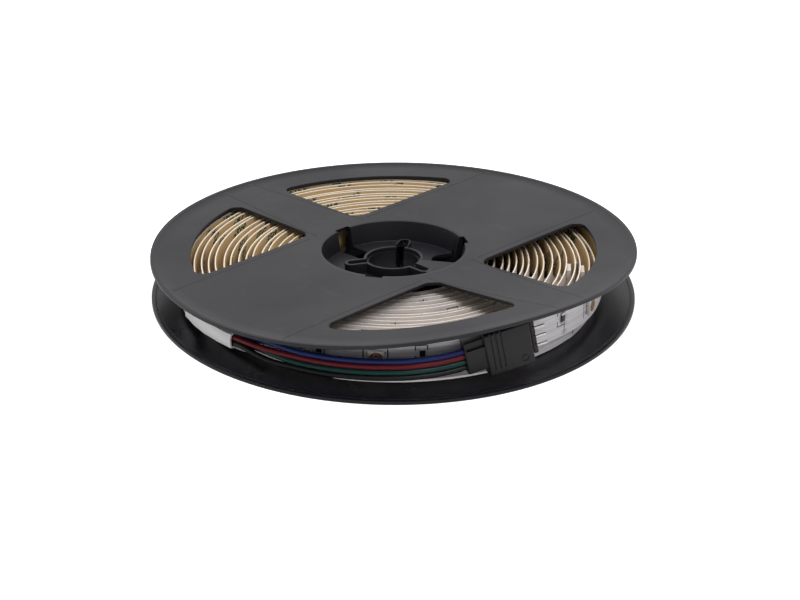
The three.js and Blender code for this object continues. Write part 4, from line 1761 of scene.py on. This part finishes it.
    def shrunk(self, share: float, aside: float, up: float, start: float, spread: float) -> Vector:
        """Gives the place of a point of the shrunk sleeve.

        Args:
            share: How far along the sleeve it lies, from the strip's end.
            aside: Its outward place on a unit ring.
            up: Its upward place on a unit ring.
            start: Direction of the sleeve's start.
            spread: The angle that it covers.

        Returns:
            The place.
        """
        narrowed = smoothstep(share, 0, self.shrunk_by)
        thick, tall = (side + (self.bundle_side - side) * narrowed for side in self.sleeve_at_strip)
        turn = math.atan2(up, aside)
        square = 1 / max(abs(math.cos(turn)), abs(math.sin(turn)))
        reach = 0.5 * (1 + (0.72 - 0.22 * narrowed) * (square - 1))
        ripple = 1 + 0.02 * math.sin(9 * share + 2 * turn) + 0.012 * math.sin(23 * share - 3 * turn)
        height = self.sleeve_height - self.sleeve_fall * narrowed + tall * reach * math.sin(turn) * ripple
        radius = self.sleeve_radius + thick * reach * math.cos(turn) * ripple
        return polar(radius, start + spread * share, height)


@dataclass
class Connector:
    """The flat connector, in a frame with X towards the pins, Y towards the reel and Z up."""

    path: RollPath
    angle: float = -61.1
    lean: float = 11.4
    swing: float = 10.2
    standoff: float = 2.25
    centre_height: float = 11.5
    length: float = 14.2
    tall: float = 13.8
    thick: float = 4.4
    chamfer: float = 0.6
    neck_length: float = 6.0
    neck_tall: float = 10.3
    neck_thick: float = 3.8
    neck_rise: float = 1.15
    latch_tall: float = 2.5
    latch_inset: float = 0.4
    latch_deep: float = 0.8
    wire_height: float = 0.6
    wire_depth: float = 1.9
    wire_into: float = 2.4
    wire_slot: Point = (1.9, 7.4)
    grip_count: int = 3
    grip_pitch: float = 1.56
    grip_start: float = 1.98
    grip_tall: float = 11.6
    grip_wide: float = 0.5
    grip_deep: float = 0.35
    mark_radius: float = 1.2
    mark_wide: float = 0.4
    mark_deep: float = 0.2
    mark_inset: float = 2.9
    mark_sides: int = 48
    pin_pitch: float = 2.9
    pin_count: int = 4
    pin_rise: float = 1.6
    pin_side: float = 0.64
    pin_in: float = 6
    pin_out: float = 3.6
    tip_length: float = 0.4
    socket: float = 1.1
    header_length: float = 1.3
    header_tall: float = 11.2
    header_rise: float = 1.2
    header_thick: float = 2.6
    header_notch: tuple[float, float, float] = (1.4, 0.9, 0.7)
    gap: float = 0.3

    @property
    def end(self) -> float:
        """X of the housing's open end."""
        return self.length / 2

    @property
    def neck_end(self) -> float:
        """Distance of the neck's end from the housing's middle."""
        return self.length / 2 + self.neck_length

    @property
    def place(self) -> Matrix:
        """The connector's frame in the reel."""
        turn = Matrix.Rotation(math.radians(self.angle + 90 - self.swing), 4, "Z")
        lean = Matrix.Rotation(-math.radians(self.lean), 4, "Y")
        spot = polar(self.path.radius(self.angle) + self.standoff, self.angle, self.centre_height)
        return Matrix.Translation(spot) @ turn @ lean

    def at(self, local: Sequence[float]) -> Vector:
        """Gives a place in the reel from one in the connector."""
        return self.place @ Vector(local)

    def pin_heights(self) -> list[float]:
        """Lists the heights of the pins."""
        middle = (self.pin_count - 1) / 2
        return [self.pin_rise + (i - middle) * self.pin_pitch for i in range(self.pin_count)]

    def build(self) -> None:
        """Builds the housing, the header and its pins."""
        self.housing()
        self.header()
        for index, height in enumerate(self.pin_heights()):
            self.pin(index, height)

    def housing(self) -> None:
        """Builds the housing with its neck, grooves, sockets and mould mark."""
        depth = self.thick / 2
        piece = block((self.length, self.thick, self.tall), (0, -depth, 0))
        soften(piece, self.chamfer, 4)
        neck_from = -self.neck_end
        neck_to = 1 - self.end
        neck = block(
            (neck_to - neck_from, self.neck_thick, self.neck_tall),
            ((neck_from + neck_to) / 2, -self.neck_thick / 2, self.neck_rise),
        )
        soften(neck, 0.35, 3)
        shape(piece, neck, Cut.ADD)
        front = -self.thick
        for index in range(self.grip_count):
            at = self.grip_start + index * self.grip_pitch - self.end
            groove = (self.grip_wide, 2 * self.grip_deep, self.grip_tall)
            shape(piece, block(groove, (at, front, (self.tall - self.grip_tall) / 2)), Cut.TAKE)
        latch = self.neck_length - self.latch_inset
        high = self.neck_rise + self.neck_tall / 2 - self.latch_inset
        tool = block(
            (latch, 2 * self.latch_deep, self.latch_tall),
            (-self.end - latch / 2, -self.neck_thick, high - self.latch_tall / 2),
        )
        shape(piece, tool, Cut.TAKE)
        self.mark(piece, front)
        for height in self.pin_heights():
            size = (self.pin_in + 2 * self.gap, self.socket, self.socket)
            shape(piece, block(size, (self.end - self.pin_in / 2, -depth, height)), Cut.TAKE)
        slot = (2 * (self.wire_into + self.gap), *self.wire_slot)
        shape(piece, block(slot, (-self.neck_end, -self.wire_depth, self.wire_height)), Cut.TAKE)
        piece.data.transform(self.place)
        piece.data.materials.clear()
        piece.data.materials.append(CONNECTOR_PLASTIC.build())
        seat(piece, "connector_housing_dressed", ["connector_housing"], 35)

    def mark(self, piece: bpy.types.Object, front: float) -> None:
        """Sinks the plain round mould mark, a shallow ring.

        Args:
            piece: The housing.
            front: Y of its front face.
        """
        inner, outer, deep = self.mark_radius - self.mark_wide, self.mark_radius, self.mark_deep
        ring = turned([(inner, -deep), (outer, -deep), (outer, deep), (inner, deep)], self.mark_sides)
        turn = Matrix.Rotation(math.pi / 2, 4, "X")
        spot = Matrix.Translation((self.end - self.mark_inset, front, self.mark_inset - self.tall / 2))
        ring.data.transform(spot @ turn)
        shape(piece, ring, Cut.TAKE)

    def header(self) -> None:
        """Builds the header block in front of the open end."""
        start = self.end + self.gap
        middle = start + self.header_length / 2
        size = (self.header_length, self.header_thick, self.header_tall)
        piece = block(size, (middle, -self.thick / 2, self.header_rise))
        soften(piece, 0.15, 2)
        for height in self.pin_heights():
            side = self.pin_side + 0.2
            tool = block((self.header_length + 1, side, side), (middle, -self.thick / 2, height))
            shape(piece, tool, Cut.TAKE)
        for height in self.pin_heights()[1:]:
            front = -(self.thick + self.header_thick) / 2
            spot = (start + self.header_length, front, height - self.pin_pitch / 2)
            shape(piece, block(self.header_notch, spot), Cut.TAKE)
        piece.data.transform(self.place)
        piece.data.materials.clear()
        piece.data.materials.append(CONNECTOR_PLASTIC.build())
        seat(piece, "pin_header_dressed", ["pin_header"], 35)

    def pin(self, index: int, height: float) -> None:
        """Builds one square pin with a tapered tip.

        Args:
            index: Its number from below, from 0.
            height: Its height in the connector's frame.
        """
        length = self.pin_in + self.gap + self.header_length + self.pin_out
        start = self.end - self.pin_in
        tip = start + length - HAIR
        piece = block((length, self.pin_side, self.pin_side), (start + length / 2, -self.thick / 2, height))
        with editing(piece):
            pick_points(piece, lambda co: co.x > tip)
            bpy.ops.mesh.extrude_region_move(TRANSFORM_OT_translate={"value": (0, 0, 0)})
            bpy.ops.transform.resize(value=(1, 0.5, 0.5), center_override=(0, -self.thick / 2, height))
            pick_points(piece, lambda co: co.x > tip and abs(co.z - height) > self.pin_side * 0.4)
            bpy.ops.transform.translate(value=(-self.tip_length, 0, 0))
        tidy_mesh(piece)
        soften(piece, 0.05, 1)
        piece.data.transform(self.place)
        piece.data.materials.append(TINNED.build())
        node = f"header_pin_{index + 1}"
        seat(piece, f"{node}_dressed", [node], 35)


# Finishes

UPPER_PLASTIC = MouldedPlastic("Reel plastic, matte", (0.005, 0.005, 0.008), 0.46, 0.1, 0.6, 2000, 0.4)
LOWER_PLASTIC = MouldedPlastic("Reel plastic, satin", (0.005, 0.005, 0.008), 0.3, 0.12, 0.08, 2600, 0.32)
CONNECTOR_PLASTIC = MouldedPlastic("Connector plastic", (0.009, 0.009, 0.010), 0.42, 0.08, 0.12, 4000, 0.32)
SLEEVE_FINISH = MouldedPlastic("Heat-shrunk sleeve", (0.72, 0.72, 0.72), 0.45, 0.04, 0.15, 900)
TINNED = TinnedMetal()
LED_CASE = PlainResin("LED case", (0.74, 0.70, 0.66), 0.4, 0.05)
LED_RESIN = PlainResin("LED resin", (0.36, 0.20, 0.12), 0.2, 0.25, 1500, 0.6)
LED_PAD = PlainResin("LED lead frame", (0.50, 0.34, 0.22), 0.3, 0.15, 2500)
LED_DIE = PlainResin("LED die", (0.10, 0.06, 0.05), 0.25, 0.2, 2500)
CHIP_BODY = PlainResin("Chip ceramic", (0.016, 0.016, 0.017), 0.38, 0.2)
BOARD_EDGE = PlainResin("Board edge", (0.86, 0.75, 0.62), 0.6, 0.15, 500)
BACKING = PlainResin("Adhesive backing", (0.66, 0.64, 0.60), 0.5, 0.08, 400)
LINER_EDGE = PlainResin("Liner edge", (0.40, 0.27, 0.13), 0.75, 0.2, 600)
WIRE_FINISH = {
    "wire_blue": MouldedPlastic("Wire, blue", (0.007, 0.018, 0.105), 0.36, 0.1, 0.06, 1500, 0.25),
    "wire_red": MouldedPlastic("Wire, red", (0.115, 0.006, 0.011), 0.36, 0.1, 0.06, 1500, 0.25),
    "wire_green": MouldedPlastic("Wire, green", (0.004, 0.036, 0.031), 0.36, 0.1, 0.06, 1500, 0.25),
    "wire_black": MouldedPlastic("Wire, black", (0.004, 0.004, 0.005), 0.4, 0.1, 0.06, 1500, 0.3),
}


@dataclass
class Studio:
    """The white table, the soft lamps and the camera at the photograph's place."""

    lens: float = 112.5
    sensor: float = 36
    distance: float = 0.7793
    elevation: float = 25.60
    roll: float = 0.25
    shift: Point = (0.0084, -0.0105)
    floor_size: float = 6.0
    floor_colour: Colour = (0.9, 0.9, 0.9)
    floor_glow: float = 0.7
    world_colour: Colour = (1.0, 1.0, 1.0)
    world_front: float = 0.3
    world_back: float = 0.95
    hub_shade: Point = (0.05, 0.08)
    lamps: tuple[tuple[str, tuple[float, float, float], float, float], ...] = field(
        default=(
            ("softbox_top", (-0.15, 0.1, 0.9), 0.5, 2.0),
            ("softbox_key", (0.35, -0.55, 0.8), 0.3, 3.0),
            ("softbox_rim", (-0.05, -0.45, 0.95), 0.3, 2.6),
        )
    )

    def camera(self) -> None:
        """Places the camera."""
        data = bpy.data.cameras.new("camera")
        data.lens = self.lens
        data.sensor_width = self.sensor
        data.shift_x, data.shift_y = self.shift
        data.clip_end = 20
        camera = bpy.data.objects.new("camera", data)
        rise = math.radians(self.elevation)
        camera.location = (0, -self.distance * math.cos(rise), self.distance * math.sin(rise))
        aim = Matrix.Rotation(math.pi / 2 - rise, 4, "X") @ Matrix.Rotation(math.radians(self.roll), 4, "Z")
        camera.rotation_euler = aim.to_euler()
        bpy.context.collection.objects.link(camera)
        bpy.context.scene.camera = camera

    def floor(self) -> None:
        """Lays the table, which the camera sees as white around the reel and plain under its bore."""
        deselect_all()
        bpy.ops.mesh.primitive_plane_add(size=self.floor_size)
        table = bpy.context.object
        table.name = "table"
        material, write, shader = new_material("Table")
        shader.inputs["Base Color"].default_value = (*self.floor_colour, 1)
        shader.inputs["Roughness"].default_value = 0.9
        shader.inputs["Emission Color"].default_value = (1, 1, 1, 1)
        path = write.node("ShaderNodeLightPath")
        reach = write.node("ShaderNodeVectorMath", operation="LENGTH")
        write.feed(reach.inputs[0], write.node("ShaderNodeTexCoord").outputs["Object"])
        outside = write.span(reach.outputs["Value"], *self.hub_shade, 0.0, self.floor_glow)
        write.feed(shader.inputs["Emission Strength"], write.both(path.outputs["Is Camera Ray"], outside))
        table.data.materials.append(material)

    def world(self) -> None:
        """Lights the room softly, brighter from behind, and shows it as white."""
        world = bpy.data.worlds.new("room")
        world.use_nodes = True
        write = Shader(world.node_tree)
        background = world.node_tree.nodes["Background"]
        background.inputs["Color"].default_value = (*self.world_colour, 1)
        split = write.node("ShaderNodeSeparateXYZ")
        write.feed(split.inputs[0], write.node("ShaderNodeTexCoord").outputs["Generated"])
        room = write.span(split.outputs[1], -0.6, 0.6, self.world_front, self.world_back)
        path = write.node("ShaderNodeLightPath")
        write.feed(background.inputs["Strength"], write.math("MAXIMUM", path.outputs["Is Camera Ray"], room))
        bpy.context.scene.world = world

    def lights(self) -> None:
        """Hangs the soft lamps, each turned towards the reel."""
        for name, place, size, power in self.lamps:
            data = bpy.data.lights.new(name, "AREA")
            data.shape = "DISK"
            data.size = size
            data.energy = power
            lamp = bpy.data.objects.new(name, data)
            lamp.location = place
            lamp.rotation_euler = Vector(place).to_track_quat("Z", "Y").to_euler()
            bpy.context.collection.objects.link(lamp)

    def build(self) -> None:
        """Sets the whole stage."""
        self.camera()
        self.floor()
        self.world()
        self.lights()
        bpy.context.scene.view_settings.view_transform = "Standard"


def main() -> None:
    """Builds the stage and the reel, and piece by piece."""
    logging.basicConfig(level=logging.INFO, format="%(name)s %(message)s")
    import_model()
    deselect_all()
    Studio().build()
    sizes = ReelSizes()
    path = RollPath()
    connector = Connector(path)
    Lead(path, connector).build()
    LowerHalf(sizes, LOWER_PLASTIC).build()
    UpperHalf(sizes, Flex(sizes.bore, sizes.radius), UPPER_PLASTIC).build()
    StripRoll(path).build()
    connector.build()


if __name__ == "__main__":
    main()
